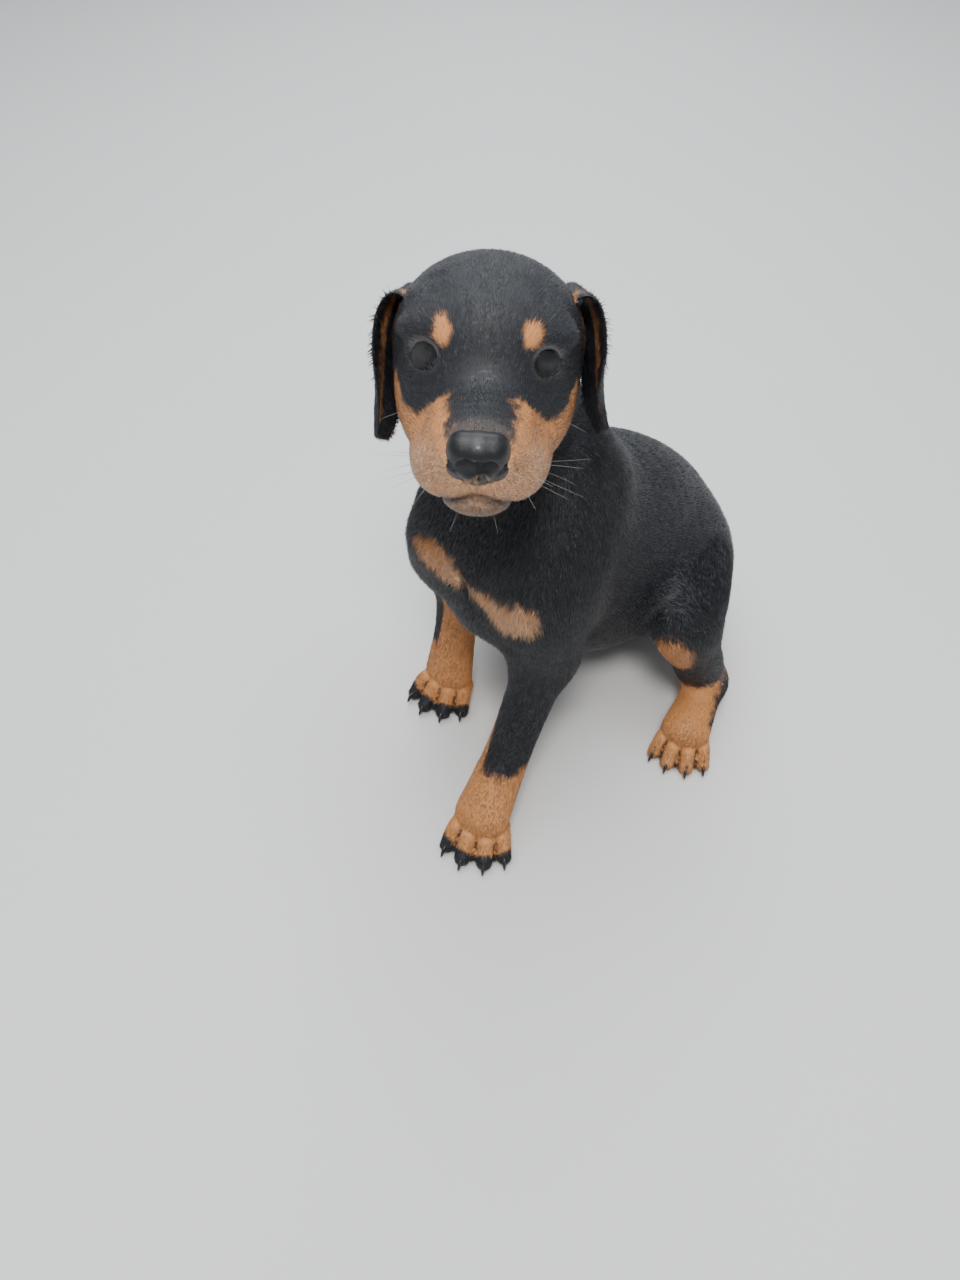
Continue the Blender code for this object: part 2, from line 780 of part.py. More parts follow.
def ear_mesh(side, grow=0.0, sides=16):
    """A hanging ear, folded over at its root and cupped towards the head.

    grow makes it larger on every side and at both ends, for the slot that it sits in.
    """
    sign = SIDES[side]
    stations = [(in_head(x * sign, y, z), wide * MM, wide * MM) for x, y, z, wide in EARS_MM[side]]
    tube = Tube(stations, head_axis(-EAR_SWING * sign, 1, 0.12), steps=2)
    mesh = bmesh.new()
    rings = []
    last = len(tube.places) - 1
    for i, place in enumerate(tube.places):
        run = min(i, last - 1)
        across, up = Vector(tube.across[run]), Vector(tube.up[run]) * sign
        wide = tube.wide[i]
        if i in (0, last):
            place = place + tube.along[run] * (grow if i else -grow)
        cup = EAR_CUP * min(1, wide / (15 * MM)) * (i / last) ** 1.3
        ring = []
        for k in range(sides):
            angle = 2 * math.pi * k / sides
            share, rise = math.cos(angle), math.sin(angle)
            bend = cup * (0.4 - share * share)
            reach = across * share * (wide + grow) + up * (rise * (EAR_THICKNESS / 2 + grow) + bend)
            ring.append(mesh.verts.new(Vector(place) + reach))
        rings.append(ring)
    for lower, upper in zip(rings, rings[1:]):
        for i in range(sides):
            j = (i + 1) % sides
            mesh.faces.new((lower[i], lower[j], upper[j], upper[i]))
    mesh.faces.new(list(reversed(rings[0])))
    mesh.faces.new(rings[-1])
    bmesh.ops.triangulate(mesh, faces=mesh.faces)
    bmesh.ops.recalc_face_normals(mesh, faces=mesh.faces)
    return mesh


def make_ear(body, side):
    """An ear, set in a slot in the skull that leaves a thin gap round it."""
    ear = new_object(f"ear_{side}")
    mesh = ear_mesh(side)
    mesh.to_mesh(ear.data)
    mesh.free()
    slot = new_object("cutter")
    mesh = ear_mesh(side, grow=EAR_GAP)
    mesh.to_mesh(slot.data)
    mesh.free()
    boolean(body, slot, "DIFFERENCE")
    remove(slot)
    return ear


def make_claws(paw, piece):
    """The claws of a paw, each set in a hole that leaves a thin gap round it."""
    claws = []
    for number in range(TOES):
        maker = tube_cutter(paw.claw_stations(number), sides=6, steps=1)
        claw = maker(0)
        claw.name = f"claw_{paw.name}_{number + 1}"
        hole = maker(GAP)
        boolean(piece, hole, "DIFFERENCE")
        remove(hole)
        claws.append(claw)
    return claws


def box_cutter(place, normal, width, length):
    """A cutter maker: a box with one face through place, reaching along normal."""

    def make(grow):
        box = new_object("cutter")
        mesh = bmesh.new()
        bmesh.ops.create_cube(mesh, size=1)
        size = Matrix.Diagonal((width, width, length + grow, 1))
        shift = Matrix.Translation((0, 0, (length - grow) / 2))
        turn = Vector((0, 0, 1)).rotation_difference(normal).to_matrix().to_4x4()
        matrix = Matrix.Translation(place) @ turn @ shift @ size
        bmesh.ops.transform(mesh, matrix=matrix, verts=mesh.verts)
        bmesh.ops.triangulate(mesh, faces=mesh.faces)
        mesh.to_mesh(box.data)
        mesh.free()
        return box

    return make


def leg_cutter(side, stations_mm):
    """A cutter maker: a wide tube round a leg."""
    sign = SIDES[side]
    return tube_cutter([(Vector((x * sign, y, z)) * MM, r * MM, r * MM) for x, y, z, r in stations_mm])


FORELEG_CUTS_MM = {
    "left": ((60, 26, 132, 24), (50, 22, 96, 28), (42, -10, 42, 28), (44, -40, 5, 26)),
    "right": ((61, 34, 132, 24), (56, 44, 90, 28), (44, 34, 40, 26), (38, 20, 5, 24)),
}
HINDLEG_CUTS_MM = {
    "left": ((76, 168, 94, 30), (86, 130, 62, 33), (97, 106, 8, 31)),
    "right": ((76, 168, 94, 30), (78, 138, 60, 33), (75, 132, 8, 31)),
}

COAT = ("coat", (0.022, 0.021, 0.024), 0.55)
TAN_COAT = ("tan_coat", (0.42, 0.19, 0.075), 0.6)
NOSE_LEATHER = ("nose_leather", (0.014, 0.013, 0.014), 0.35)
EYE_SURFACE = ("eye_surface", (0.022, 0.020, 0.024), 0.08)
CLAW_HORN = ("claw_horn", (0.030, 0.024, 0.020), 0.4)


def finish(obj, look):
    """Gives an object its own material, and smooth shading."""
    name, colour, roughness = look
    material = bpy.data.materials.new(f"{name}_{obj.name}")
    material.use_nodes = True
    shader = material.node_tree.nodes["Principled BSDF"]
    shader.inputs["Base Color"].default_value = (*colour, 1)
    shader.inputs["Roughness"].default_value = roughness
    obj.data.materials.clear()
    obj.data.materials.append(material)
    for face in obj.data.polygons:
        face.material_index = 0
        face.use_smooth = True
    obj.data.set_sharp_from_angle(angle=SHARP_ANGLE)


def centre_on_base(objects):
    """Moves every piece so that the origin is the middle of the base."""
    corners = np.vstack([coordinates(obj.data) for obj in objects])
    low, high = corners.min(0), corners.max(0)
    shift = Vector((-(low[0] + high[0]) / 2, -(low[1] + high[1]) / 2, -low[2]))
    for obj in objects:
        obj.data.transform(Matrix.Translation(shift))
    return shift


def main():
    """Builds every piece."""
    for obj in list(bpy.data.objects):
        bpy.data.objects.remove(obj)
    paws = [
        Paw("forepaw_left", FORELEGS["left"], PAW_WIDTH),
        Paw("forepaw_right", FORELEGS["right"], PAW_WIDTH),
        Paw("hindpaw_left", HINDLEGS["left"], HIND_PAW_WIDTH),
        Paw("hindpaw_right", HINDLEGS["right"], HIND_PAW_WIDTH),
    ]
    body = flesh_object(all_flesh(paws))
    cut_flats(body)
    dark, tan, claws = [], [], []
    eyes, noses = [], []
    for paw in paws:
        place = paw.root - paw.direction() * 2 * MM
        cutter = box_cutter(place, paw.direction(), 48 * MM, 60 * MM)
        piece = part_off(body, paw.name, cutter)
        claws += make_claws(paw, piece)
        tan.append(piece)
    for side in SIDES:
        dark.append(part_off(body, f"foreleg_{side}", leg_cutter(side, FORELEG_CUTS_MM[side])))
        dark.append(part_off(body, f"hindleg_{side}", leg_cutter(side, HINDLEG_CUTS_MM[side])))
    tail_side = half_space(Vector((0, 0.213, 0.0)), Vector((0, 1, -0.1)).normalized(), 0.2)
    dark.append(part_off(body, "tail", tail_side))
    head_side = half_space(in_head(0, 24, -32), head_axis(0, -0.57, 0.82), 0.25)
    head = part_off(body, "head", head_side)
    neck_side = half_space(Vector((0, 0.03, 0.183)), Vector((0, -0.33, 0.94)).normalized(), 0.25)
    dark.append(part_off(body, "neck", neck_side))
    body.name = "torso"
    noses.append(make_nose(head))
    cut_mouth(head)
    for side in SIDES:
        eyes.append(make_eye(head, side))
        dark.append(make_ear(head, side))
    dark += [head, body]
    for group, look in (
        (dark, COAT),
        (tan, TAN_COAT),
        (noses, NOSE_LEATHER),
        (eyes, EYE_SURFACE),
        (claws, CLAW_HORN),
    ):
        for obj in group:
            finish(obj, look)
    centre_on_base(dark + tan + noses + eyes + claws)


main()
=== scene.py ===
"""The looks of a Doberman pinscher puppy of about six weeks, sitting, life size.

One skin is modelled over the whole body from ovals and tubes that melt into each other. It
replaces the CAD nodes of flesh and lies inside them by the depth of the coat, which grows over
it as short tufts that follow the lie of the hair. Eyes, lid rims, nose, claws and whiskers are
pieces of their own. The pose is laid out as in the part's source, with the breastbone over
X = 0, Y = 0 and the dog's left towards +X, and each finished piece is shifted onto the frame.
"""

import logging
import math
from collections.abc import Iterable, Sequence
from dataclasses import dataclass
from enum import Enum

import bmesh
import bpy
import numpy as np
from mathutils import Matrix, Vector


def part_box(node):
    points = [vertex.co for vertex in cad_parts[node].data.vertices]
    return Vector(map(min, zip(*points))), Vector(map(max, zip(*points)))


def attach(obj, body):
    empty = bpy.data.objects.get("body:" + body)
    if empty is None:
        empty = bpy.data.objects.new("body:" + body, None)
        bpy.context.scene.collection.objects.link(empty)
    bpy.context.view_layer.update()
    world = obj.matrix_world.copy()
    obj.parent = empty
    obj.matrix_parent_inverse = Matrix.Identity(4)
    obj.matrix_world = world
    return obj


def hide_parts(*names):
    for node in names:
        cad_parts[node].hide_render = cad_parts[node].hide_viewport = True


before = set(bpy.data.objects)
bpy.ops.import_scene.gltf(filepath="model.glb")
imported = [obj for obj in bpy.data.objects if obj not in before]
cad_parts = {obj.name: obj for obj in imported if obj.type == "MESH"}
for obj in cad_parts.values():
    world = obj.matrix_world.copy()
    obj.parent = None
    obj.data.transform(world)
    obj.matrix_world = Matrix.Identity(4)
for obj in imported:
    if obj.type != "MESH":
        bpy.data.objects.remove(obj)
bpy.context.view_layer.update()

LOG = logging.getLogger("puppy")
MM = 0.001
BODY = "root"
SEED = 6

Array = np.ndarray
Place = tuple[float, float, float]


class Side(Enum):
    """The two sides of the body, by the sign of X."""

    LEFT = 1
    RIGHT = -1

    @property
    def word(self) -> str:
        """The side's name as it stands in node names."""
        return self.name.lower()


def at_mm(x: float, y: float, z: float) -> Vector:
    """A place given in millimetres, in metres."""
    return Vector((x, y, z)) * MM


def smooth_step(low: float, high: float, value: Array) -> Array:
    """A share that rises smoothly from 0 at low to 1 at high."""
    share = ((value - low) / (high - low)).clip(0, 1)
    return share * share * (3 - 2 * share)


def ripple(points: Array, wavelength: float, seed: int) -> Array:
    """Gentle three-way waves, about -1 to 1, that break up an edge or a colour.

    Args:
        points: places in metres, one a row.
        wavelength: the waves' size in metres.
        seed: picks one set of waves.

    Returns:
        One value for each point.
    """
    draw = np.random.default_rng(seed)
    ways = draw.normal(size=(7, 3))
    ways *= (2 * math.pi / wavelength * draw.uniform(0.6, 1.7, 7) / np.linalg.norm(ways, axis=1))[:, None]
    phases = draw.uniform(0, 2 * math.pi, 7)
    return np.sin(points @ ways.T + phases).sum(axis=1) / 3.2


class Tube:
    """A limb-like form: a smooth path with an oval section at each station."""

    def __init__(
        self,
        stations: Sequence[tuple[Vector, float, float]],
        side: Iterable[float] = (1, 0, 0),
        steps: int = 4,
    ) -> None:
        """Runs a smooth curve through the stations.

        Args:
            stations: place, half width and half depth, in metres.
            side: the direction that the width is measured along.
            steps: rows for each gap between stations.
        """
        rows = self.blend(np.array([[*place, wide, deep] for place, wide, deep in stations]), steps)
        self.places, self.wide, self.deep = rows[:, :3], rows[:, 3], rows[:, 4]
        self.runs = np.diff(self.places, axis=0)
        self.lengths = np.linalg.norm(self.runs, axis=1)
        self.along = self.runs / self.lengths[:, None]
        towards = np.array(list(side), float)
        across = towards - self.along * (self.along @ towards)[:, None]
        self.across = across / np.linalg.norm(across, axis=1)[:, None]
        self.up = np.cross(self.along, self.across)
        reach = float(max(self.wide.max(), self.deep.max()))
        self.low, self.high = self.places.min(0) - reach, self.places.max(0) + reach

    @staticmethod
    def blend(rows: Array, steps: int) -> Array:
        """Rows of numbers along a smooth curve through the given rows."""
        before = np.vstack([2 * rows[0] - rows[1], rows, 2 * rows[-1] - rows[-2]])
        out = []
        for i in range(len(rows) - 1):
            a, b, c, d = before[i : i + 4]
            for t in np.arange(steps) / steps:
                bend = (2 * a - 5 * b + 4 * c - d) * t**2 + (3 * b - a - 3 * c + d) * t**3
                out.append(0.5 * (2 * b + (c - a) * t + bend))
        out.append(rows[-1])
        return np.array(out)

    def distance(self, points: Array) -> Array:
        """How far each point is from the form's surface, less than zero inside."""
        offset = points[:, None, :] - self.places[None, :-1]
        share = np.einsum("nsk,sk->ns", offset, self.runs) / self.lengths**2
        share = share.clip(0, 1)
        offset = offset - share[:, :, None] * self.runs
        wide = self.wide[:-1] + share * np.diff(self.wide)
        deep = self.deep[:-1] + share * np.diff(self.deep)
        x = np.einsum("nsk,sk->ns", offset, self.across) / wide
        y = np.einsum("nsk,sk->ns", offset, self.up) / deep
        z = np.einsum("nsk,sk->ns", offset, self.along) * 2 / (wide + deep)
        span = np.linalg.norm(offset, axis=2) + 1e-9
        ratio = np.sqrt(x * x + y * y + z * z) + 1e-12
        return (span - span / ratio).min(axis=1)

    def rough(self, shape: bmesh.types.BMesh) -> None:
        """Adds overlapping balls that fill the form, for the first rough mesh."""
        for i, place in enumerate(self.places):
            run = min(i, len(self.runs) - 1)
            turn = Matrix((self.across[run], self.up[run], self.along[run])).transposed()
            size = (self.wide[i], self.deep[i], (self.wide[i] + self.deep[i]) / 2)
            matrix = Matrix.Translation(place) @ turn.to_4x4() @ Matrix.Diagonal((*size, 1))
            bmesh.ops.create_icosphere(shape, subdivisions=2, radius=1, matrix=matrix)


class Oval:
    """An egg-like form with three radii, turned by a matrix."""

    def __init__(self, place: Vector, radii: Sequence[float], turn: Matrix | None = None) -> None:
        """Places the form; radii are in metres."""
        self.place, self.radii = np.array(place, float), np.array(radii, float)
        self.turn = np.array(turn or Matrix.Identity(3), float)
        reach = float(self.radii.max())
        self.low, self.high = self.place - reach, self.place + reach

    def distance(self, points: Array) -> Array:
        """How far each point is from the form's surface, less than zero inside."""
        offset = points - self.place
        span = np.linalg.norm(offset, axis=1) + 1e-9
        ratio = np.linalg.norm((offset @ self.turn) / self.radii, axis=1) + 1e-12
        return span - span / ratio

    def rough(self, shape: bmesh.types.BMesh) -> None:
        """Adds one ball that fills the form."""
        scale = Matrix.Diagonal((*self.radii, 1))
        matrix = Matrix.Translation(self.place) @ Matrix(self.turn).to_4x4() @ scale
        bmesh.ops.create_icosphere(shape, subdivisions=3, radius=1, matrix=matrix)


class Flesh:
    """Forms that melt together, each with its own softness where it meets the rest."""

    FAR = 1.0
    SPARE = 4 * MM
    STEP = 0.05 * MM

    def __init__(self) -> None:
        """Starts with no forms."""
        self.forms: list[tuple[object, float, int]] = []

    @property
    def low(self) -> Array:
        """The lowest corner of the forms' box."""
        return np.min([form.low for form, _, _ in self.forms], axis=0)

    @property
    def high(self) -> Array:
        """The highest corner of the forms' box."""
        return np.max([form.high for form, _, _ in self.forms], axis=0)

    def add(self, form: object, soft: float) -> None:
        """Joins a form to the flesh, with a fillet about as wide as soft."""
        self.forms.append((form, soft, 1))

    def carve(self, form: object, soft: float) -> None:
        """Takes a form out of the flesh, with its rim rounded over about soft."""
        self.forms.append((form, soft, -1))

    def distance(self, points: Array) -> Array:
        """How far each point is from the surface, less than zero inside."""
        total = np.full(len(points), self.FAR)
        for form, soft, sense in self.forms:
            spare = soft + self.SPARE
            near = ((points > form.low - spare) & (points < form.high + spare)).all(1)
            if not near.any():
                continue
            away = form.distance(points[near])
            here = total[near] * sense
            overlap = (soft - np.abs(here - away)).clip(0) / soft
            total[near] = sense * (np.minimum(here, away) - overlap**2 * soft / 4)
        return total

    def slope(self, points: Array, here: Array) -> Array:
        """The direction in which the distance grows fastest, at each point."""
        rises = [self.distance(points + step) - here for step in np.eye(3) * self.STEP]
        return np.stack(rises, axis=1) / self.STEP

    def settle(self, points: Array, rounds: int, depth: Array | float = 0.0, most: float = 2 * MM) -> Array:
        """Moves points onto the surface, or to a depth under it.

        Args:
            points: places in metres, one a row.
            rounds: how many times they are moved.
            depth: how far under the surface each one ends.
            most: the longest single move.

        Returns:
            The moved points.
        """
        for _ in range(rounds):
            here = self.distance(points)
            slope = self.slope(points, here)
            step = slope * ((here + depth) / (slope**2).sum(1).clip(0.05))[:, None]
            long = np.linalg.norm(step, axis=1).clip(1e-12)
            points = points - step * np.minimum(1, most / long)[:, None]
        return points

    def rough(self, shape: bmesh.types.BMesh) -> None:
        """Adds balls that fill each form that isn't carved away."""
        for form, _, sense in self.forms:
            if sense > 0:
                form.rough(shape)


def evaluated(obj: bpy.types.Object) -> bpy.types.Mesh:
    """A plain mesh of the object with its modifiers applied."""
    graph = bpy.context.evaluated_depsgraph_get()
    return bpy.data.meshes.new_from_object(obj.evaluated_get(graph))


def bake(obj: bpy.types.Object) -> None:
    """Applies the object's modifiers."""
    mesh = evaluated(obj)
    obj.modifiers.clear()
    obj.data = mesh


def new_piece(name: str, shape: bmesh.types.BMesh | None = None) -> bpy.types.Object:
    """An object in the scene, with the mesh of a shape, which is then freed.

    Args:
        name: the piece's name.
        shape: the bmesh to take, or none for an empty mesh.

    Returns:
        The new object.
    """
    obj = bpy.data.objects.new(name, bpy.data.meshes.new(name))
    bpy.context.scene.collection.objects.link(obj)
    if shape is not None:
        shape.to_mesh(obj.data)
        shape.free()
    return obj


def coordinates(mesh: bpy.types.Mesh) -> Array:
    """A mesh's points, as an array."""
    points = np.empty(len(mesh.vertices) * 3)
    mesh.vertices.foreach_get("co", points)
    return points.reshape(-1, 3)


def move_points(mesh: bpy.types.Mesh, points: Array) -> None:
    """Gives a mesh new places for its points."""
    mesh.vertices.foreach_set("co", points.ravel())
    mesh.update()


def point_value(mesh: bpy.types.Mesh, name: str, values: Array) -> None:
    """Stores one number for each point of a mesh, for its material to read."""
    mesh.attributes.new(name, "FLOAT", "POINT").data.foreach_set("value", values.astype(np.float32))


def point_marks(mesh: bpy.types.Mesh, name: str, values: Array) -> None:
    """Stores four shares for each point of a mesh, for its material to read."""
    layer = mesh.attributes.new(name, "FLOAT_COLOR", "POINT")
    layer.data.foreach_set("color", values.astype(np.float32).ravel())


def melted(name: str, flesh: Flesh, voxel: float, depth: float = 0.0) -> bpy.types.Object:
    """A closed, even mesh of some flesh.

    Args:
        name: the new object's name.
        flesh: the forms.
        voxel: about how wide its faces are, in metres.
        depth: how far under the flesh's surface it lies.

    Returns:
        The new object.
    """
    shape = bmesh.new()
    flesh.rough(shape)
    obj = new_piece(name, shape)
    remesh = obj.modifiers.new("Remesh", "REMESH")
    remesh.mode = "VOXEL"
    remesh.voxel_size = voxel
    bake(obj)
    move_points(obj.data, flesh.settle(coordinates(obj.data), 4, depth))
    smooth = obj.modifiers.new("Smooth", "SMOOTH")
    smooth.factor = 0.5
    smooth.iterations = 3
    bake(obj)
    move_points(obj.data, flesh.settle(coordinates(obj.data), 1, depth))
    return obj


def refine(mesh: bpy.types.Mesh, wanted: Array) -> None:
    """Halves the edges whose two ends are both wanted."""
    shape = bmesh.new()
    shape.from_mesh(mesh)
    edges = [edge for edge in shape.edges if wanted[edge.verts[0].index] and wanted[edge.verts[1].index]]
    bmesh.ops.subdivide_edges(shape, edges=edges, cuts=1, use_grid_fill=True)
    shape.to_mesh(mesh)
    shape.free()


def lofted(shape: bmesh.types.BMesh, tube: Tube, sides: int, closed: bool = False) -> None:
    """Adds a closed skin over a tube's sections, ring by ring.

    Args:
        shape: the bmesh that takes it.
        tube: the path and its sections.
        sides: points in each ring.
        closed: joins the last ring to the first, for a hoop.
    """
    rings = []
    for i, place in enumerate(tube.places[:-1] if closed else tube.places):
        run = min(i, len(tube.runs) - 1)
        turn = Matrix((tube.across[run], tube.up[run], tube.along[run])).transposed().to_4x4()
        size = Matrix.Diagonal((tube.wide[i], tube.deep[i], 1, 1))
        made = bmesh.ops.create_circle(
            shape, segments=sides, radius=1, matrix=Matrix.Translation(place) @ turn @ size
        )
        rings.append(made["verts"])
    pairs = list(zip(rings, rings[1:]))
    if closed:
        pairs.append((rings[-1], rings[0]))
    for lower, upper in pairs:
        for i in range(sides):
            j = (i + 1) % sides
            shape.faces.new((lower[i], lower[j], upper[j], upper[i]))
    if not closed:
        shape.faces.new(list(reversed(rings[0])))
        shape.faces.new(rings[-1])


class Graph:
    """A material's node tree, with short ways to add and join its nodes."""

    def __init__(self, name: str) -> None:
        """Starts a material with a Principled shader."""
        self.material = bpy.data.materials.new(name)
        self.material.use_nodes = True
        self.nodes = self.material.node_tree.nodes
        self.links = self.material.node_tree.links
        self.shader = self.nodes["Principled BSDF"]

    def node(self, kind: str, **settings: object) -> bpy.types.Node:
        """Adds a node and sets its own options."""
        made = self.nodes.new(kind)
        for key, value in settings.items():
            setattr(made, key, value)
        return made

    def feed(self, socket: bpy.types.NodeSocket, value: object) -> None:
        """Joins an output to a socket, or sets the socket to a plain value."""
        if isinstance(value, bpy.types.NodeSocket):
            self.links.new(value, socket)
        else:
            socket.default_value = value

    def attribute(self, name: str) -> bpy.types.Node:
        """Reads what is stored on the mesh's points under a name."""
        return self.node("ShaderNodeAttribute", attribute_name=name)

    def mix(self, share: object, first: object, second: object) -> bpy.types.NodeSocket:
        """Mixes two colours by a share."""
        made = self.node("ShaderNodeMix", data_type="RGBA")
        self.feed(made.inputs["Factor"], share)
        self.feed(made.inputs["A"], first)
        self.feed(made.inputs["B"], second)
        return made.outputs["Result"]

    def spread(self, value: object, low: float, high: float) -> bpy.types.NodeSocket:
        """Stretches a value from 0..1 to low..high."""
        made = self.node("ShaderNodeMapRange")
        self.feed(made.inputs["Value"], value)
        made.inputs["To Min"].default_value = low
        made.inputs["To Max"].default_value = high
        return made.outputs["Result"]

    def math(self, operation: str, first: object, second: object) -> bpy.types.NodeSocket:
        """One sum on two values."""
        made = self.node("ShaderNodeMath", operation=operation)
        self.feed(made.inputs[0], first)
        self.feed(made.inputs[1], second)
        return made.outputs["Value"]

    def noise(self, scale: float, detail: float = 2.0) -> bpy.types.NodeSocket:
        """Noise on the object's own coordinates, scale in waves a metre."""
        place = self.node("ShaderNodeTexCoord")
        made = self.node("ShaderNodeTexNoise")
        self.links.new(place.outputs["Object"], made.inputs["Vector"])
        made.inputs["Scale"].default_value = scale
        made.inputs["Detail"].default_value = detail
        return made.outputs["Fac"]

    def bump(self, height: bpy.types.NodeSocket, strength: float, distance: float) -> None:
        """Presses a height into the shader's surface."""
        made = self.node("ShaderNodeBump")
        made.inputs["Strength"].default_value = strength
        made.inputs["Distance"].default_value = distance
        self.links.new(height, made.inputs["Height"])
        self.links.new(made.outputs["Normal"], self.shader.inputs["Normal"])

    def value(self, name: str, value: object) -> None:
        """Sets or feeds one of the shader's sockets."""
        self.feed(self.shader.inputs[name], value)


Colour = tuple[float, float, float, float]


@dataclass(frozen=True)
class Palette:
    """The coat's colours, as linear light."""

    black: Colour = (0.0105, 0.0115, 0.0155, 1)
    tan: Colour = (0.74, 0.32, 0.105, 1)
    pale: Colour = (0.95, 0.60, 0.37, 1)
    # Grey also colours the painted shade on the chin.
    grey: Colour = (0.13, 0.098, 0.078, 1)
    # Silver also colours the painted highlight on the lids' edges.
    silver_and_highlight: Colour = (0.42, 0.40, 0.39, 1)
    leather: Colour = (0.006, 0.006, 0.007, 1)

    def on(self, graph: Graph) -> bpy.types.NodeSocket:
        """The coat's colour from the marks stored on a mesh.

        Args:
            graph: the material's nodes.

        Returns:
            The socket that gives the colour.
        """
        marks = graph.node("ShaderNodeSeparateColor")
        stored = graph.attribute("marks")
        graph.links.new(stored.outputs["Color"], marks.inputs["Color"])
        warm = graph.mix(marks.outputs["Green"], self.tan, self.pale)
        patched = graph.mix(marks.outputs["Red"], self.black, warm)
        # The grey share holds the grey-brown marks and the painted shade on the chin.
        greyed = graph.mix(marks.outputs["Blue"], patched, self.grey)
        # The fourth share mixes in silver, which round the lids is a painted highlight.
        return graph.mix(stored.outputs["Alpha"], greyed, self.silver_and_highlight)


@dataclass(frozen=True)
class SkinFinish:
    """The skin under the coat: fine short hair as bump, its colour darkened as painted shade under the tufts,
    and bare leather where it has none.
    """

    palette: Palette = Palette()

    def material(self) -> bpy.types.Material:
        """Builds the skin's nodes."""
        graph = Graph("skin_finish")
        bare = graph.attribute("bare").outputs["Fac"]
        coat = self.palette.on(graph)
        # Painted shade: the coat's colour is darkened with noise where the skin lies under the tufts.
        shade = graph.spread(graph.noise(900, 3), 0.55, 0.95)
        dark = graph.node("ShaderNodeMix", data_type="RGBA", blend_type="MULTIPLY")
        dark.inputs["Factor"].default_value = 1
        graph.feed(dark.inputs["A"], coat)
        graph.feed(dark.inputs["B"], shade)
        graph.value("Base Color", graph.mix(bare, dark.outputs["Result"], self.palette.leather))
        graph.value("Roughness", graph.spread(bare, 0.6, 0.32))
        graph.bump(graph.noise(1600, 4), 0.5, 0.3 * MM)
        return graph.material


@dataclass(frozen=True)
class CoatFinish:
    """The tufts: marked as the skin is, each a little lighter or darker, paler to the tip, with the lightest
    strands tinted blue-grey as painted sheen.
    """

    name: str = "coat_finish"
    palette: Palette = Palette()
    roughness: float = 0.38
    sheen: float = 0.06
    # The blue-grey tint of the lightest strands: painted sheen.
    fleck: Colour = (0.13, 0.145, 0.18, 1)

    def material(self) -> bpy.types.Material:
        """Builds the coat's nodes."""
        graph = Graph(self.name)
        colour = self.palette.on(graph)
        strand = graph.attribute("strand").outputs["Fac"]
        along = graph.attribute("along").outputs["Fac"]
        light = graph.math("MULTIPLY", graph.spread(strand, 0.55, 1.35), graph.spread(along, 0.72, 1.12))
        lit = graph.node("ShaderNodeMix", data_type="RGBA", blend_type="MULTIPLY")
        lit.inputs["Factor"].default_value = 1
        # The lightest strands take part of the blue-grey tint, as painted sheen.
        sheen_strand = graph.math("GREATER_THAN", strand, 0.82)
        graph.feed(lit.inputs["A"], graph.mix(graph.math("MULTIPLY", sheen_strand, 0.28), colour, self.fleck))
        graph.feed(lit.inputs["B"], light)
        graph.value("Base Color", lit.outputs["Result"])
        graph.value("Roughness", self.roughness)
        graph.value("Specular IOR Level", 0.5)
        graph.value("Sheen Weight", self.sheen)
        graph.value("Sheen Roughness", 0.4)
        graph.value("Sheen Tint", (0.8, 0.86, 0.98, 1))
        return graph.material


@dataclass(frozen=True)
class EyeFinish:
    """A wet young eye: black pupil, slate-blue iris with streaks, dark ring and dark white."""

    pupil: Colour = (0.003, 0.003, 0.004, 1)
    iris: Colour = (0.150, 0.170, 0.215, 1)
    streak: Colour = (0.050, 0.058, 0.076, 1)
    ring: Colour = (0.006, 0.006, 0.008, 1)
    white: Colour = (0.12, 0.10, 0.10, 1)
    streak_share: float = 0.8

    def material(self) -> bpy.types.Material:
        """Builds the eye's nodes."""
        graph = Graph("eye_finish")
        turn = graph.attribute("gaze_angle").outputs["Fac"]
        ramp = graph.node("ShaderNodeValToRGB")
        graph.feed(ramp.inputs["Fac"], turn)
        stops = ((0.0, self.pupil), (0.24, self.pupil), (0.29, self.streak), (0.42, self.iris))
        stops += ((0.66, self.iris), (0.76, self.ring), (0.90, self.ring), (1.0, self.white))
        elements = ramp.color_ramp.elements
        elements[0].position, elements[0].color = stops[0]
        elements[1].position, elements[1].color = stops[-1]
        for place, colour in stops[1:-1]:
            made = elements.new(place)
            made.color = colour
        waves = graph.node("ShaderNodeTexNoise", noise_dimensions="2D")
        around = graph.attribute("around")
        graph.links.new(around.outputs["Vector"], waves.inputs["Vector"])
        waves.inputs["Scale"].default_value = 9
        streaked = graph.spread(waves.outputs["Fac"], 0.0, self.streak_share)
        graph.value("Base Color", graph.mix(streaked, ramp.outputs["Color"], self.streak))
        graph.value("Roughness", 0.12)
        graph.value("Coat Weight", 1.0)
        graph.value("Coat Roughness", 0.01)
        graph.value("Coat IOR", 1.45)
        return graph.material


@dataclass(frozen=True)
class LeatherFinish:
    """Bare leather: dark and pebbled on the nose, smoother and wetter in the eyes' corners."""

    name: str = "nose_finish"
    colour: Colour = (0.0055, 0.0055, 0.0065, 1)
    roughness: float = 0.36
    pebble_mm: float = 0.55
    depth: float = 0.5
    wet: float = 0.12

    def material(self) -> bpy.types.Material:
        """Builds the leather's nodes."""
        graph = Graph(self.name)
        place = graph.node("ShaderNodeTexCoord")
        cells = graph.node("ShaderNodeTexVoronoi", feature="DISTANCE_TO_EDGE")
        graph.links.new(place.outputs["Object"], cells.inputs["Vector"])
        cells.inputs["Scale"].default_value = 1 / (self.pebble_mm * MM)
        height = graph.math("MINIMUM", cells.outputs["Distance"], 0.18)
        graph.bump(height, self.depth, 0.35 * MM)
        lighter = tuple(share * 1.9 for share in self.colour[:3]) + (1,)
        graph.value("Base Color", graph.mix(graph.noise(500), self.colour, lighter))
        rough = graph.spread(graph.noise(700), self.roughness - 0.06, self.roughness + 0.1)
        graph.value("Roughness", rough)
        graph.value("Coat Weight", self.wet)
        graph.value("Coat Roughness", 0.12)
        return graph.material


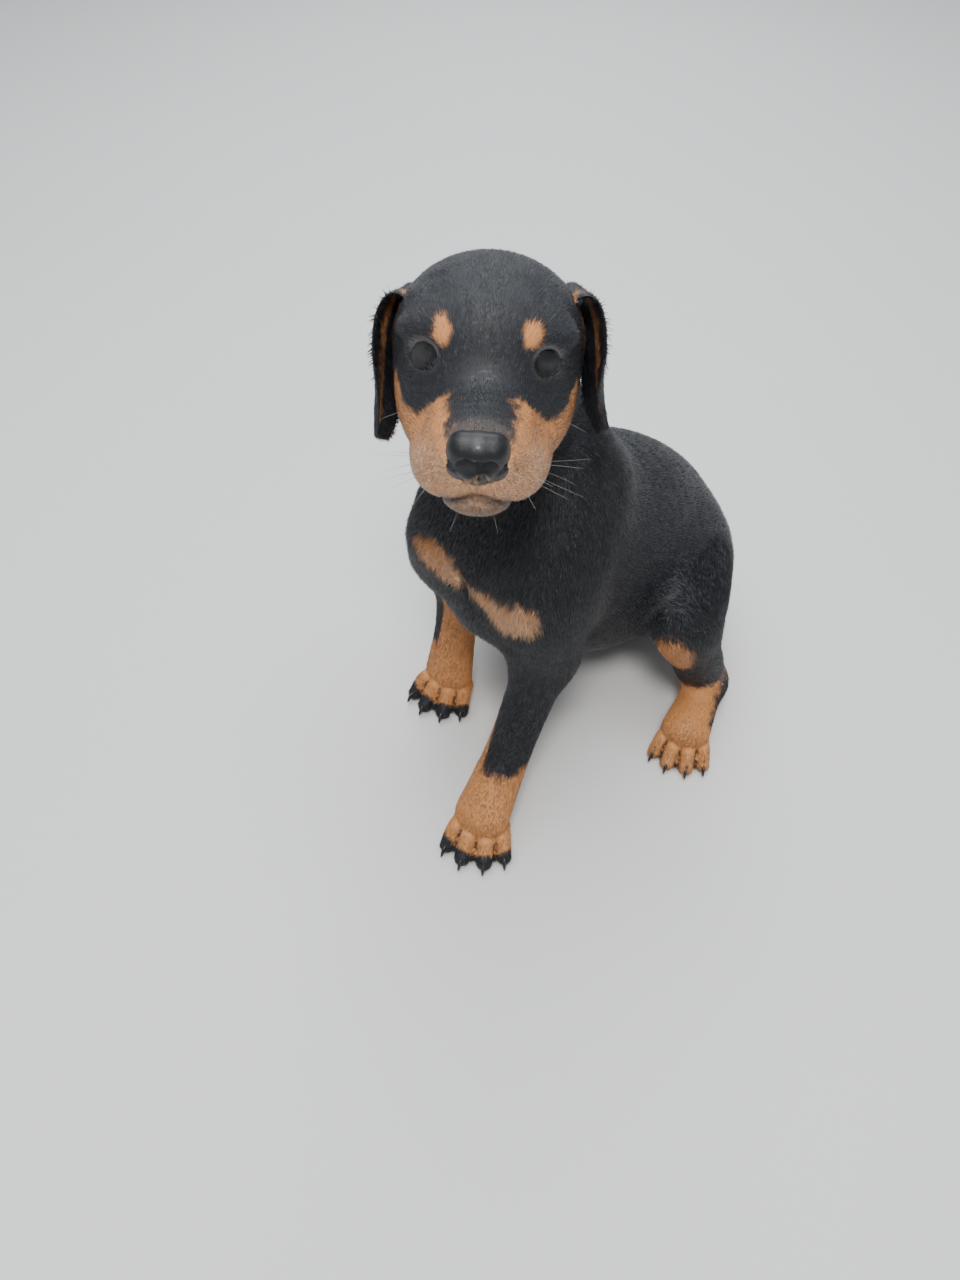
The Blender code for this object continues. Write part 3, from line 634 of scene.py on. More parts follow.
@dataclass(frozen=True)
class HornFinish:
    """A smooth finish that runs from one colour to another: claws, whiskers and lid rims, where the second
    colour is a painted reflection.
    """

    name: str
    colour: Colour
    tip: Colour
    roughness: float = 0.3

    def material(self) -> bpy.types.Material:
        """Builds the horn's nodes."""
        graph = Graph(self.name)
        along = graph.attribute("along").outputs["Fac"]
        graph.value("Base Color", graph.mix(along, self.colour, self.tip))
        rough = graph.spread(graph.noise(1500), self.roughness - 0.05, self.roughness + 0.12)
        graph.value("Roughness", rough)
        return graph.material


@dataclass(frozen=True)
class FloorFinish:
    """A plain pale studio floor."""

    colour: Colour = (0.74, 0.74, 0.73, 1)

    def material(self) -> bpy.types.Material:
        """Builds the floor's nodes."""
        graph = Graph("floor_finish")
        darker = tuple(share * 0.97 for share in self.colour[:3]) + (1,)
        graph.value("Base Color", graph.mix(graph.noise(3), self.colour, darker))
        graph.value("Roughness", 0.8)
        return graph.material


@dataclass(frozen=True)
class Head:
    """The head: where it is, how it is turned, and the forms of its flesh, in millimetres."""

    middle: Place = (-7, 24, 266)
    turn: float = math.radians(37.5)
    lift: float = math.radians(21.0)
    tilt: float = math.radians(2.0)
    skull: Place = (42, 46, 36)
    eye: Place = (22, -21.5, 0)
    eye_radius: float = 8.5
    lid: float = 1.8
    opening: Place = (5.0, 5.5, 4.9)
    gaze_way: Place = (2.3, -8.2, 1.5)

    def matrix(self) -> Matrix:
        """The head's own frame, +X its left, +Y its back and +Z its crown."""
        turn = Matrix.Rotation(self.turn, 3, "Z")
        lift = Matrix.Rotation(-self.lift, 3, "X")
        tilt = Matrix.Rotation(self.tilt, 3, "Y")
        return Matrix.Translation(at_mm(*self.middle)) @ (turn @ lift @ tilt).to_4x4()

    def place(self, x: float, y: float, z: float) -> Vector:
        """A place in the head's frame as one in the body's frame."""
        return self.matrix() @ at_mm(x, y, z)

    def axis(self, x: float, y: float, z: float) -> Vector:
        """A direction in the head's frame as one in the body's frame."""
        return self.matrix().to_3x3() @ Vector((x, y, z))

    def inside(self, points: Array) -> Array:
        """Points of the body's frame in the head's frame, in millimetres."""
        back = np.array(self.matrix().inverted())
        return (points @ back[:3, :3].T + back[:3, 3]) / MM

    def tube(self, stations: Iterable[Sequence[float]], side: Place = (1, 0, 0), steps: int = 4) -> Tube:
        """A tube whose stations are given in the head's frame."""
        rows = [(self.place(*row[:3]), row[3] * MM, row[4] * MM) for row in stations]
        return Tube(rows, self.axis(*side), steps)

    def oval(self, place: Place, radii: Place) -> Oval:
        """An oval given in the head's frame."""
        return Oval(self.place(*place), [size * MM for size in radii], self.matrix().to_3x3())

    def gaze(self, side: Side) -> Vector:
        """The way an eye looks, which is also where its lids open."""
        return self.axis(self.gaze_way[0] * side.value, *self.gaze_way[1:]).normalized()

    def lids_turn(self, side: Side) -> Matrix:
        """The frame of an eye's opening: across the face, along the gaze and up."""
        ahead = self.gaze(side)
        up = self.axis(0, 0, 1)
        across = up.cross(ahead).normalized() * -1
        up = ahead.cross(across).normalized() * -1
        return Matrix((across, -ahead, up)).transposed()

    def eye_lid_point(self, side: Side, degrees: float, share: float, out: float = 0.9) -> Vector:
        """A place on the lids, round the opening from its outer corner over the top.

        Args:
            side: which eye.
            degrees: how far round, 90 at the top and 180 at the inner corner.
            share: how far out from the middle, 1 at the opening's edge.
            out: how far outside the eyeball it lies, in millimetres.

        Returns:
            The place in the body's frame.
        """
        turn = self.lids_turn(side)
        angle = math.radians(degrees)
        corner = math.exp(-(((angle - math.pi) / 0.42) ** 2))
        x = (self.opening[0] * share * math.cos(angle) - 2.0 * corner) * side.value
        z = self.opening[2] * share * math.sin(angle) - 1.2 * corner
        radius = self.eye_radius + out
        reach = math.sqrt(max(9.0, radius**2 - x * x - z * z))
        local = Vector((x, -reach, z)) * MM
        return self.eye_place(side) + turn @ local

    def eye_place(self, side: Side) -> Vector:
        """The middle of an eye."""
        return self.place(self.eye[0] * side.value, *self.eye[1:])

    def upper(self) -> Flesh:
        """The skull, brows, cheeks, lid bulges, muzzle and upper lips."""
        flesh = Flesh()
        flesh.add(self.oval((0, 10, 2), self.skull), 10 * MM)
        flesh.add(self.oval((0, -12, 10), (27, 21, 18)), 16 * MM)
        for side in Side:
            flesh.add(self.oval((26 * side.value, -3, -22), (12.5, 24, 19)), 14 * MM)
        muzzle = (
            (0, -14, -14, 27, 18),
            (0, -34, -19, 22.5, 17),
            (0, -53, -24, 21, 15.5),
            (0, -62.5, -25.5, 18.5, 13),
        )
        flesh.add(self.tube(muzzle), 14 * MM)
        for side in Side:
            sign = side.value
            lip = (
                (18.5 * sign, -18, -33, 12, 12),
                (17 * sign, -40, -35.5, 12, 12.5),
                (13.5 * sign, -55, -36, 11.5, 11),
                (8.2 * sign, -62.5, -35.6, 8.5, 9.2),
            )
            flesh.add(self.tube(lip), 8 * MM)
            flesh.add(self.oval((23 * sign, -21, 11), (13, 8, 6)), 9 * MM)
            radius = self.eye_radius + self.lid
            flesh.add(self.oval((self.eye[0] * sign, *self.eye[1:]), (radius, radius, radius)), 4 * MM)
            fold = [self.eye_lid_point(side, angle, 1.25) for angle in (20, 50, 80, 110, 140, 165)]
            flesh.add(Tube([(place, 1.5 * MM, 1.5 * MM) for place in fold], steps=3), 2.2 * MM)
        return flesh

    def jaw(self) -> Tube:
        """The lower jaw and the chin."""
        return self.tube(
            (
                (0, 4, -37, 22, 12),
                (0, -28, -43, 19, 10),
                (0, -52, -45.5, 15.5, 8),
                (0, -60.5, -45.5, 12.5, 6.5),
            )
        )

    def mouth(self) -> Array:
        """The line along which the lips meet, from the left corner to the right."""
        upper, lower, whole = self.upper(), Flesh(), self.upper()
        lower.add(self.jaw(), 2 * MM)
        whole.add(self.jaw(), 2 * MM)
        seeds = []
        for share in np.linspace(1, -1, 19):
            bend = abs(share)
            seeds.append(self.place(25 * share, -70 + 40 * bend**1.8, -41 - 3 * bend))
        points = np.array(seeds)
        for _ in range(12):
            points = lower.settle(upper.settle(points, 1), 1)
        return whole.settle(points, 4)

    def flesh(self) -> Flesh:
        """All the head's flesh, with the lids' openings and the line of the mouth."""
        flesh = self.upper()
        flesh.add(self.jaw(), 2 * MM)
        line = [(Vector(place), 0.8 * MM, 0.8 * MM) for place in self.mouth()]
        flesh.carve(Tube(line, (0, 0, 1), steps=1), 1.4 * MM)
        flesh.carve(self.oval((0, -74, -25), (9.5, 7, 8.5)), 1.0 * MM)
        cleft = ((0, -76, -34, 0.7, 1.2), (0, -74.5, -36.5, 0.7, 1.2), (0, -72, -41, 0.7, 1.2))
        flesh.carve(self.tube(cleft), 1.2 * MM)
        for side in Side:
            turn = self.lids_turn(side)
            front = self.eye_place(side) + self.gaze(side) * (self.eye_radius + 0.5) * MM
            flesh.carve(Oval(front, [size * MM for size in self.opening], turn), 0.9 * MM)
            inner = front - turn.col[0] * side.value * 5.0 * MM - turn.col[2] * 1.3 * MM
            flesh.carve(Oval(inner, [2.4 * MM, 2.6 * MM, 1.3 * MM], turn), 0.9 * MM)
        return flesh


@dataclass(frozen=True)
class Trunk:
    """The neck, torso, belly, rump and docked tail, in millimetres."""

    neck: tuple = ((-22, 46, 236, 33, 34), (-13, 52, 205, 37, 39), (-3, 62, 168, 44, 46))
    torso: tuple = (
        (0, 40, 146, 42, 40),
        (0, 66, 130, 52, 52),
        (0, 98, 111, 59, 58),
        (0, 130, 90, 62, 60),
        (0, 158, 67, 58, 57),
        (0, 174, 48, 47, 48),
    )
    brisket: tuple = ((0, 34, 117), (31, 34, 31))
    belly: tuple = ((0, 110, 78), (55, 59, 57))
    buttock: tuple = ((30, 172, 35), (28, 34, 37))
    tail: tuple = ((0, 200, 60, 12, 12), (0, 228, 49, 9, 9), (0, 246, 40, 6, 6))

    @staticmethod
    def tube(rows: Iterable[Sequence[float]]) -> Tube:
        """A tube whose stations are given in the body's frame."""
        return Tube([(at_mm(*row[:3]), row[3] * MM, row[4] * MM) for row in rows])

    @staticmethod
    def oval(place: Place, radii: Place) -> Oval:
        """An oval given in the body's frame."""
        return Oval(at_mm(*place), [size * MM for size in radii])

    def add_body(self, flesh: Flesh) -> None:
        """Adds the torso, belly, brisket, rump and neck."""
        flesh.add(self.tube(self.torso), 10 * MM)
        flesh.add(self.oval(*self.belly), 20 * MM)
        flesh.add(self.oval(*self.brisket), 16 * MM)
        (x, y, z), radii = self.buttock
        for side in Side:
            flesh.add(self.oval((x * side.value, y, z), radii), 14 * MM)
        flesh.add(self.tube(self.neck), 26 * MM)

    def add_tail(self, flesh: Flesh) -> None:
        """Adds the tail."""
        flesh.add(self.tube(self.tail), 8 * MM)


@dataclass(frozen=True)
class Foreleg:
    """A foreleg's joints from the shoulder blade down, in millimetres."""

    side: Side
    blade: Place
    shoulder: Place
    elbow: Place
    wrist: Place
    knuckles: Place
    heading: float

    def add(self, flesh: Flesh) -> None:
        """Adds the shoulder, upper arm and forearm."""
        blade, shoulder, elbow = at_mm(*self.blade), at_mm(*self.shoulder), at_mm(*self.elbow)
        wrist, knuckles = at_mm(*self.wrist), at_mm(*self.knuckles)
        arm = [(blade, 16 * MM, 24 * MM), (shoulder, 21 * MM, 27 * MM), (elbow, 17.5 * MM, 21 * MM)]
        flesh.add(Tube(arm), 22 * MM)
        forearm = [
            (elbow, 16 * MM, 18 * MM),
            (elbow.lerp(wrist, 0.5), 14 * MM, 15 * MM),
            (wrist, 13.5 * MM, 13 * MM),
            (knuckles, 16.5 * MM, 11 * MM),
        ]
        flesh.add(Tube(forearm), 10 * MM)


@dataclass(frozen=True)
class Hindleg:
    """A hind leg's joints from the hip down, in millimetres."""

    side: Side
    hip: Place
    knee: Place
    hock: Place
    knuckles: Place
    heading: float

    def add(self, flesh: Flesh) -> None:
        """Adds the thigh, shank and instep."""
        hip, knee = at_mm(*self.hip), at_mm(*self.knee)
        hock, knuckles = at_mm(*self.hock), at_mm(*self.knuckles)
        thigh = [
            (hip, 30 * MM, 40 * MM),
            (hip.lerp(knee, 0.55), 26 * MM, 34 * MM),
            (knee, 18 * MM, 22 * MM),
        ]
        flesh.add(Tube(thigh, side=(0.75, 0.6, 0.2)), 18 * MM)
        shank = [
            (knee, 17 * MM, 19 * MM),
            (knee.lerp(hock, 0.55), 15 * MM, 17 * MM),
            (hock, 11.5 * MM, 13 * MM),
        ]
        flesh.add(Tube(shank), 10 * MM)
        instep = [
            (hock, 12 * MM, 13 * MM),
            (hock.lerp(knuckles, 0.5), 13 * MM, 12.5 * MM),
            (knuckles, 15 * MM, 11 * MM),
        ]
        flesh.add(Tube(instep), 8 * MM)


@dataclass(frozen=True)
class Paw:
    """The four toes of a paw and their claws, spread from the knuckles."""

    name: str
    knuckles: Place
    heading: float
    width: float
    reach: tuple = (0.50, 0.66, 0.66, 0.50)
    spread: tuple = (-0.36, -0.13, 0.13, 0.36)
    splay: tuple = (-15, -5, 5, 15)

    def direction(self, extra: float = 0.0) -> Vector:
        """The way a toe points on the floor."""
        angle = self.heading + extra
        return Vector((math.sin(angle), -math.cos(angle), 0))

    def toe(self, number: int) -> tuple[Vector, Vector, Vector, Vector]:
        """A toe's root, knuckle and tip, and the way it points."""
        width = self.width * MM
        ahead = self.direction(math.radians(self.splay[number]))
        left = Vector((math.cos(self.heading), math.sin(self.heading), 0))
        base = at_mm(*self.knuckles) + left * self.spread[number] * width
        base.z = 0.30 * width
        reach = self.reach[number] * width
        knuckle = base + ahead * reach * 0.55
        knuckle.z = 0.33 * width
        tip = base + ahead * reach
        tip.z = 0.155 * width
        return base, knuckle, tip, ahead

    def add(self, flesh: Flesh) -> None:
        """Adds the pad under the paw and the toes."""
        width = self.width * MM
        middle = at_mm(*self.knuckles) + self.direction() * 0.10 * width
        middle.z = 0.20 * width
        turn = Matrix.Rotation(self.heading, 3, "Z")
        flesh.add(Oval(middle, (0.42 * width, 0.42 * width, 0.24 * width), turn), 5 * MM)
        for number in range(len(self.splay)):
            base, knuckle, tip, _ = self.toe(number)
            size = width * (0.138 if number in (0, 3) else 0.148)
            stations = [(base, size, size), (knuckle, size, size), (tip, size, size * 0.98)]
            flesh.add(Tube(stations, side=(1, 0.3, 0)), 1.6 * MM)

    def claws(self) -> bpy.types.Object:
        """The paw's four claws, as one piece.

        Returns:
            The new object, with the share along each claw stored for its finish.
        """
        shape = bmesh.new()
        for number in range(len(self.splay)):
            _, _, tip, ahead = self.toe(number)
            width = self.width * MM
            root = tip + ahead * 0.05 * width + Vector((0, 0, 0.05 * width))
            end = root + ahead * 0.175 * width + Vector((0, 0, -0.13 * width))
            middle = root.lerp(end, 0.5) + Vector((0, 0, 0.028 * width))
            near_end = root.lerp(end, 0.82) + Vector((0, 0, 0.014 * width))
            thick = 0.040 * width
            stations = [
                (root, thick * 0.85, thick * 1.15),
                (middle, thick * 0.78, thick * 1.05),
                (near_end, thick * 0.60, thick * 0.80),
                (end, thick * 0.30, thick * 0.36),
            ]
            lofted(shape, Tube(stations, side=ahead.cross(Vector((0, 0, 1))), steps=4), 12)
        bmesh.ops.recalc_face_normals(shape, faces=shape.faces)
        obj = new_piece(f"claws_{self.name}", shape)
        heights = coordinates(obj.data)[:, 2] / MM
        point_value(obj.data, "along", 1 - smooth_step(0.5, 5.5, heights))
        return obj


@dataclass(frozen=True)
class Ear:
    """A hanging ear, folded over at its root and cupped towards the head, in millimetres."""

    side: Side
    path: tuple
    thickness: float = 2.9
    cup: float = 4.0
    swing: float = 0.26

    def tube(self, head: Head, steps: int) -> Tube:
        """The ear's path over the fold and down to its tip, with its half width."""
        sign = self.side.value
        rows = [(head.place(x * sign, y, z), wide * MM, wide * MM) for x, y, z, wide in self.path]
        return Tube(rows, head.axis(-self.swing * sign, 1, 0.12), steps)

    def rows(self, head: Head, steps: int, rim: int) -> list[list[tuple[Vector, Vector, float]]]:
        """Points across the ear's middle surface, row by row from the root to the tip.

        Args:
            head: the head that it hangs from.
            steps: rows for each gap between the path's points.
            rim: points across each row.

        Returns:
            For each row, each point's place, the outward direction and half thickness there.
        """
        tube = self.tube(head, steps)
        last = len(tube.places) - 1
        made = []
        for i, place in enumerate(tube.places):
            run = min(i, last - 1)
            across, up = Vector(tube.across[run]), Vector(tube.up[run]) * self.side.value
            wide = tube.wide[i]
            cup = self.cup * MM * min(1, wide / (15 * MM)) * (i / last) ** 1.3
            row = []
            for k in range(rim):
                share = math.cos(math.pi * k / (rim - 1))
                curl = 1.4 * MM * math.sin(9 * i / last + 2 * share) * (1 - (1 - i / last) ** 3)
                bend = cup * (0.4 - share * share) + curl * abs(share)
                thick = self.thickness * MM / 2 * math.sqrt(max(0.0, 1 - share * share))
                row.append((Vector(place) + across * share * wide + up * bend, up, thick))
            made.append(row)
        return made

    def piece(self, head: Head) -> bpy.types.Object:
        """A closed mesh of the ear.

        Args:
            head: the head that it hangs from.

        Returns:
            The new object.
        """
        shape = bmesh.new()
        rings = []
        for row in self.rows(head, steps=5, rim=19):
            upper = [shape.verts.new(place + up * thick) for place, up, thick in row]
            lower = [shape.verts.new(place - up * thick) for place, up, thick in row[-2:0:-1]]
            rings.append(upper + lower)
        count = len(rings[0])
        for first, second in zip(rings, rings[1:]):
            for i in range(count):
                j = (i + 1) % count
                shape.faces.new((first[i], first[j], second[j], second[i]))
        shape.faces.new(list(reversed(rings[0])))
        shape.faces.new(rings[-1])
        bmesh.ops.triangulate(shape, faces=[face for face in shape.faces if len(face.verts) > 4])
        bmesh.ops.recalc_face_normals(shape, faces=shape.faces)
        return new_piece(f"ear_{self.side.word}_shape", shape)


@dataclass(frozen=True)
class Puppy:
    """The whole animal's forms, put together."""

    head: Head
    trunk: Trunk
    forelegs: tuple[Foreleg, ...]
    hindlegs: tuple[Hindleg, ...]
    paws: tuple[Paw, ...]
    ears: tuple[Ear, ...]

    def flesh(self) -> Flesh:
        """Every form of the flesh, from the torso out."""
        flesh = Flesh()
        self.trunk.add_body(flesh)
        for leg in self.hindlegs:
            leg.add(flesh)
        for leg in self.forelegs:
            leg.add(flesh)
        self.trunk.add_tail(flesh)
        flesh.add(self.head.flesh(), 18 * MM)
        for paw in self.paws:
            paw.add(flesh)
        return flesh

    def shift(self) -> Vector:
        """How the pose's frame lies in the part's frame."""
        low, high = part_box("eye_left")
        return (Vector(low) + Vector(high)) / 2 - self.head.eye_place(Side.LEFT)


LEFT_FORELEG = Foreleg(
    Side.LEFT,
    (26, 58, 182),
    (34, 24, 140),
    (35, 25, 92),
    (39, -13, 40),
    (44.5, -41, 18),
    math.radians(27),
)
RIGHT_FORELEG = Foreleg(
    Side.RIGHT,
    (-26, 60, 182),
    (-35, 28, 142),
    (-44, 47, 90),
    (-42, 36, 42),
    (-38, 25, 17),
    math.radians(15),
)
LEFT_HINDLEG = Hindleg(
    Side.LEFT, (45, 156, 70), (77, 104, 77), (91, 125, 14.5), (101, 85, 15.5), math.radians(21)
)
RIGHT_HINDLEG = Hindleg(
    Side.RIGHT, (-45, 156, 70), (-64, 102, 77), (-66, 150, 14.5), (-69, 112, 15.5), math.radians(-8)
)

# Each ear's path from its root in the skull over the fold and down to its tip, with its half
# width, in the head's frame. The left one lies a little farther out, as it does in life.
LEFT_EAR = Ear(
    Side.LEFT,
    (
        (26, 16, 12, 9),
        (31.5, 16, 19.5, 11.5),
        (36.5, 16, 21.8, 14.5),
        (40.8, 15.5, 19, 17.2),
        (43.8, 14, 11, 19),
        (45.9, 11.5, 0, 19.5),
        (47, 8.5, -11, 18),
        (48.4, 5, -20, 14.5),
        (50.5, 1, -27, 9.5),
        (52.5, -2.5, -31.5, 4),
    ),
)
RIGHT_EAR = Ear(
    Side.RIGHT,
    (
        (26, 16, 9, 9),
        (31.5, 16, 15.8, 11.5),
        (36.2, 16, 18, 14.5),
        (40.2, 15.5, 15.5, 17.2),
        (43, 13.8, 8, 19),
        (44.4, 11, -5, 19.5),
        (44.6, 8.5, -17, 18),
        (44.8, 6, -27, 15),
        (45.2, 2.5, -36, 10),
        (45.8, -0.5, -42, 4),
    ),
)


@dataclass(frozen=True)
class Markings:
    """Where the coat is tan, pale, greyed, silver or bare, as shapes on the body, in millimetres; the silver
    round the lids is a painted highlight and the grey on the chin is painted shade.
    """

    puppy: Puppy
    edge: float = 1.6
    # The upper edge of the muzzle's tan, as height for each place from the nose back: it rises
    # to a peak beside the bridge, dips under the eye and rises again on the cheek.
    muzzle_back: tuple = (-80, -68, -60, -50, -45, -39, -31, -24, -17, -10, -3, 6, 14)
    muzzle_height: tuple = (-21, -18, -14.5, -11, -10, -17, -22.5, -19.5, -12, -9, -20, -40, -60)
    brow: tuple = ((17.6, -32, 14.2, 3.3), (17.8, -34.5, 11.2, 3.6), (18.2, -36, 7.6, 1.8))
    left_chest: tuple = ((0, -2, 145.5, 2.2), (11, -2, 142, 5.0), (25, -3, 140, 8.2), (36, -1, 144, 9.0))
    right_chest: tuple = ((-9, 0, 143, 5), (-16, 0, 148, 9.5), (-26, 0, 152, 7.5), (-36, 0, 154, 2.5))

    def noisy(self, points: Array, edge: float, seed: int) -> Array:
        """How far an edge wanders at each point, in metres."""
        return (ripple(points, 7 * MM, seed) * 0.6 + ripple(points, 2.4 * MM, seed + 1) * 0.5) * edge * MM

    def inside(self, points: Array, form: Tube | Oval, edge: float | None = None, seed: int = 1) -> Array:
        """The share of a mark at each point, from a form that is laid through the surface."""
        edge = edge or self.edge
        away = np.full(len(points), 1.0)
        near = ((points > form.low - 0.01) & (points < form.high + 0.01)).all(1)
        if near.any():
            away[near] = form.distance(points[near])
        return 1 - smooth_step(-edge * MM, edge * MM, away + self.noisy(points, edge, seed))

    def muzzle(self, points: Array) -> Array:
        """The tan of the muzzle, lips and cheeks."""
        x, y, z = self.puppy.head.inside(points).T
        wander = self.noisy(points, 1.5, 11) / MM
        top = np.interp(y, self.muzzle_back, self.muzzle_height)
        share = 1 - smooth_step(-self.edge, self.edge, z - top + wander)
        throat = smooth_step(-34, -26, y + wander * 2) * smooth_step(48, 52, -z + wander)
        near_head = (np.abs(x) < 41.5) & (y > -90) & (y < 20) & (z > -66)
        return np.where(near_head, share * (1 - throat), 0)

    def tan(self, points: Array) -> Array:
        """The share of tan at each point."""
        head = self.puppy.head
        share = self.muzzle(points)
        for side in Side:
            brow = [(x * side.value, y, z, r, r) for x, y, z, r in self.brow]
            share = np.maximum(share, self.inside(points, head.tube(brow), 1.1, 3))
        for rows in (self.left_chest, self.right_chest):
            patch = Trunk.tube([(x, y, z, r, r) for x, y, z, r in rows])
            share = np.maximum(share, self.inside(points, patch, 2.2, 5))
        for ear in self.puppy.ears:
            share = np.maximum(share, self.ear(points, ear))
        for leg in self.puppy.forelegs:
            share = np.maximum(share, self.foreleg(points, leg))
        for leg in self.puppy.hindlegs:
            share = np.maximum(share, self.hindleg(points, leg))
        vent = Trunk.oval((0, 212, 30), (15, 22, 20))
        share = np.maximum(share, self.inside(points, vent, 3, 9))
        # The toes' pencil marks and the painted shade between the toes take the tan out.
        return share * (1 - self.pencil(points) * 0.92)

    def ear(self, points: Array, ear: Ear) -> Array:
        """The brown strip down the inner side of an ear, towards its front edge."""
        tube = ear.tube(self.puppy.head, 2)
        up = tube.up[np.minimum(np.arange(len(tube.places)), len(tube.runs) - 1)] * ear.side.value
        across = tube.across[np.minimum(np.arange(len(tube.places)), len(tube.runs) - 1)]
        line = tube.places - across * tube.wide[:, None] * 0.45 - up * 4.2 * MM
        strip = Tube([(Vector(place), 4.4 * MM, 4.4 * MM) for place in line[6:-3]], steps=1)
        return self.inside(points, strip, 1.5, 91) * 0.8

    def foreleg(self, points: Array, leg: Foreleg) -> Array:
        """The tan of a foreleg: higher on its inner side than on its outer side."""
        form = Flesh()
        leg.add(form)
        away = np.full(len(points), 1.0)
        near = ((points > form.low - 0.02) & (points < form.high + 0.02)).all(1)
        away[near] = form.distance(points[near])
        elbow, wrist = np.array(leg.elbow), np.array(leg.wrist)
        drop = ((elbow[2] - points[:, 2] / MM) / (elbow[2] - wrist[2])).clip(-0.5, 1.6)
        middle = elbow[0] + (wrist[0] - elbow[0]) * drop
        inward = (middle - points[:, 0] / MM) * leg.side.value / 14
        left = leg.side is Side.LEFT
        start, end = (0.35, 0.9) if left else (-0.35, 0.2)
        top = 41 + (27 if left else 44) * smooth_step(start, end, inward)
        wander = self.noisy(points, 1.8, 21) / MM
        share = 1 - smooth_step(-2.0, 2.0, points[:, 2] / MM - top + wander)
        return share * (away < 9 * MM) * (points[:, 1] < 0.09)

    def hindleg(self, points: Array, leg: Hindleg) -> Array:
        """The tan of a hind foot, dark down its outer side, and of the patch above it."""
        x, y, z = points.T / MM
        wander = self.noisy(points, 2, 31) / MM
        sign = leg.side.value
        outer = x * sign - (abs(leg.hock[0]) + 9) + (y - leg.hock[1]) * 0.35
        foot = (1 - smooth_step(-2, 2, z - 31 + wander)) * (1 - smooth_step(-2, 2, outer + wander))
        toes = 1 - smooth_step(-2, 2, y - leg.knuckles[1] - 8 + wander)
        foot = np.maximum(foot, toes * (z < 31))
        near = (x * sign > 48) & (y < leg.hock[1] + 22) & (y > 40)
        kx, ky, kz = leg.knee
        patch = Trunk.oval((kx + 4 * sign, ky - 18, kz - 11), (12, 12, 18))
        return np.maximum(foot * near, self.inside(points, patch, 2.5, 33))

    def pencil(self, points: Array) -> Array:
        """The dark pencil strokes on the toes, and painted shade down the gaps between them."""
        share = np.zeros(len(points))
        for paw in self.puppy.paws:
            width = paw.width * MM
            toes = [paw.toe(number) for number in range(len(paw.splay))]
            strokes = []
            for _, knuckle, tip, ahead in toes:
                lift = Vector((0, 0, 0.15 * width))
                back, front = knuckle + ahead * 0.14 * width, tip + ahead * 0.06 * width
                strokes.append(((back + lift, 0.6), (front + lift, 1.2)))
            # Strokes down the gaps between the toes: painted shade.
            for first, second in zip(toes, toes[1:]):
                lift = Vector((0, 0, 0.06 * width))
                back, front = (first[1] + second[1]) / 2, (first[2] + second[2]) / 2
                strokes.append(((back + lift, 1.0), (front + lift * 0.5, 1.5)))
            for stroke in strokes:
                stations = [(place, size * MM, size * MM) for place, size in stroke]
                line = Tube(stations, (1, 0.3, 0), steps=2)
                share = np.maximum(share, self.inside(points, line, 0.6, 95))
        return share

    def pale(self, points: Array) -> Array:
        """The share of pale, pinkish tan: the lips, and the middle of the chest patches."""
        x, y, z = self.puppy.head.inside(points).T
        lips = 0.6 * smooth_step(-36, -58, y) * smooth_step(-18, -30, z) * (z > -66)
        blotch = 0.35 + 0.35 * ripple(points, 14 * MM, 41)
        chest = self.inside(points, Trunk.oval((16, -2, 144), (40, 30, 22)), 12, 43) * 0.6
        return np.maximum(np.where(y < 20, lips * 0.9, 0), chest).clip(0, 1) * (0.65 + blotch).clip(0, 1)

    def grey(self, points: Array) -> Array:
        """The share of grey-brown: round the nose leather and the whisker roots, and on the chin, where it is
        painted shade.
        """
        head = self.puppy.head
        x, y, z = head.inside(points).T
        mouth = [(Vector(place), 2.8 * MM, 2.8 * MM) for place in head.mouth()[3:16]]
        lips = self.inside(points, Tube(mouth, (0, 0, 1), steps=1), 1.8, 51) * 0.85
        streaks = 0.72 + 0.22 * ripple(points, 2.2 * MM, 52)
        # The chin's streaked grey-brown is painted shade under the jaw.
        chin = self.inside(points, head.oval((0, -62, -51), (20, 17, 11)), 3, 53) * streaks.clip(0, 1)
        rim = self.inside(points, head.oval((0, -70, -18), (12, 8, 8)), 1.6, 55) * 0.55
        dots = smooth_step(0.75, 1.05, ripple(points, 2.2 * MM, 57)) * 0.5
        dots *= smooth_step(-50, -58, y) * smooth_step(-24, -29, z) * (np.abs(x) > 5)
        return np.max([lips, chin, rim, dots * (y < 0)], axis=0)

    def round_eye(self, points: Array, side: Side) -> tuple[Array, Array]:
        """How far points lie out from an eye's gaze, and how high above it, in millimetres.

        Args:
            points: the places.
            side: which eye.

        Returns:
            The two distances; the first is large for points behind the eye.
        """
        head = self.puppy.head
        offset = (points - np.array(head.eye_place(side))) / MM
        axis = np.array(head.gaze(side))
        ahead = offset @ axis
        out = np.linalg.norm(offset - ahead[:, None] * axis, axis=1)
        out = np.where((ahead > 0) & (ahead < 12), out, 99)
        return out, offset @ np.array(head.lids_turn(side).col[2])

    def silver_and_highlight(self, points: Array) -> Array:
        """The share of silver: a painted highlight round the lids, strongest over the top, and single light
        hairs down the bridge.
        """
        x, y, z = self.puppy.head.inside(points).T
        bridge = np.exp(-((x / 7) ** 2)) * smooth_step(-60, -50, y) * smooth_step(0, -12, y) * (z > -20)
        fleck = smooth_step(0.75, 1.15, ripple(points, 1.7 * MM, 61) + ripple(points, 1.1 * MM, 62) * 0.5)
        share = np.where(y < 20, bridge * fleck * 0.18, 0)
        for side in Side:
            out, height = self.round_eye(points, side)
            # A ring of painted highlight round each eye, brighter over the top where the lid catches the
            # light.
            lit = 0.07 + 0.20 * smooth_step(0.5, 4.0, height)
            share = np.maximum(share, lit * np.exp(-(((out - 6.2) / 0.95) ** 2)))
        return share

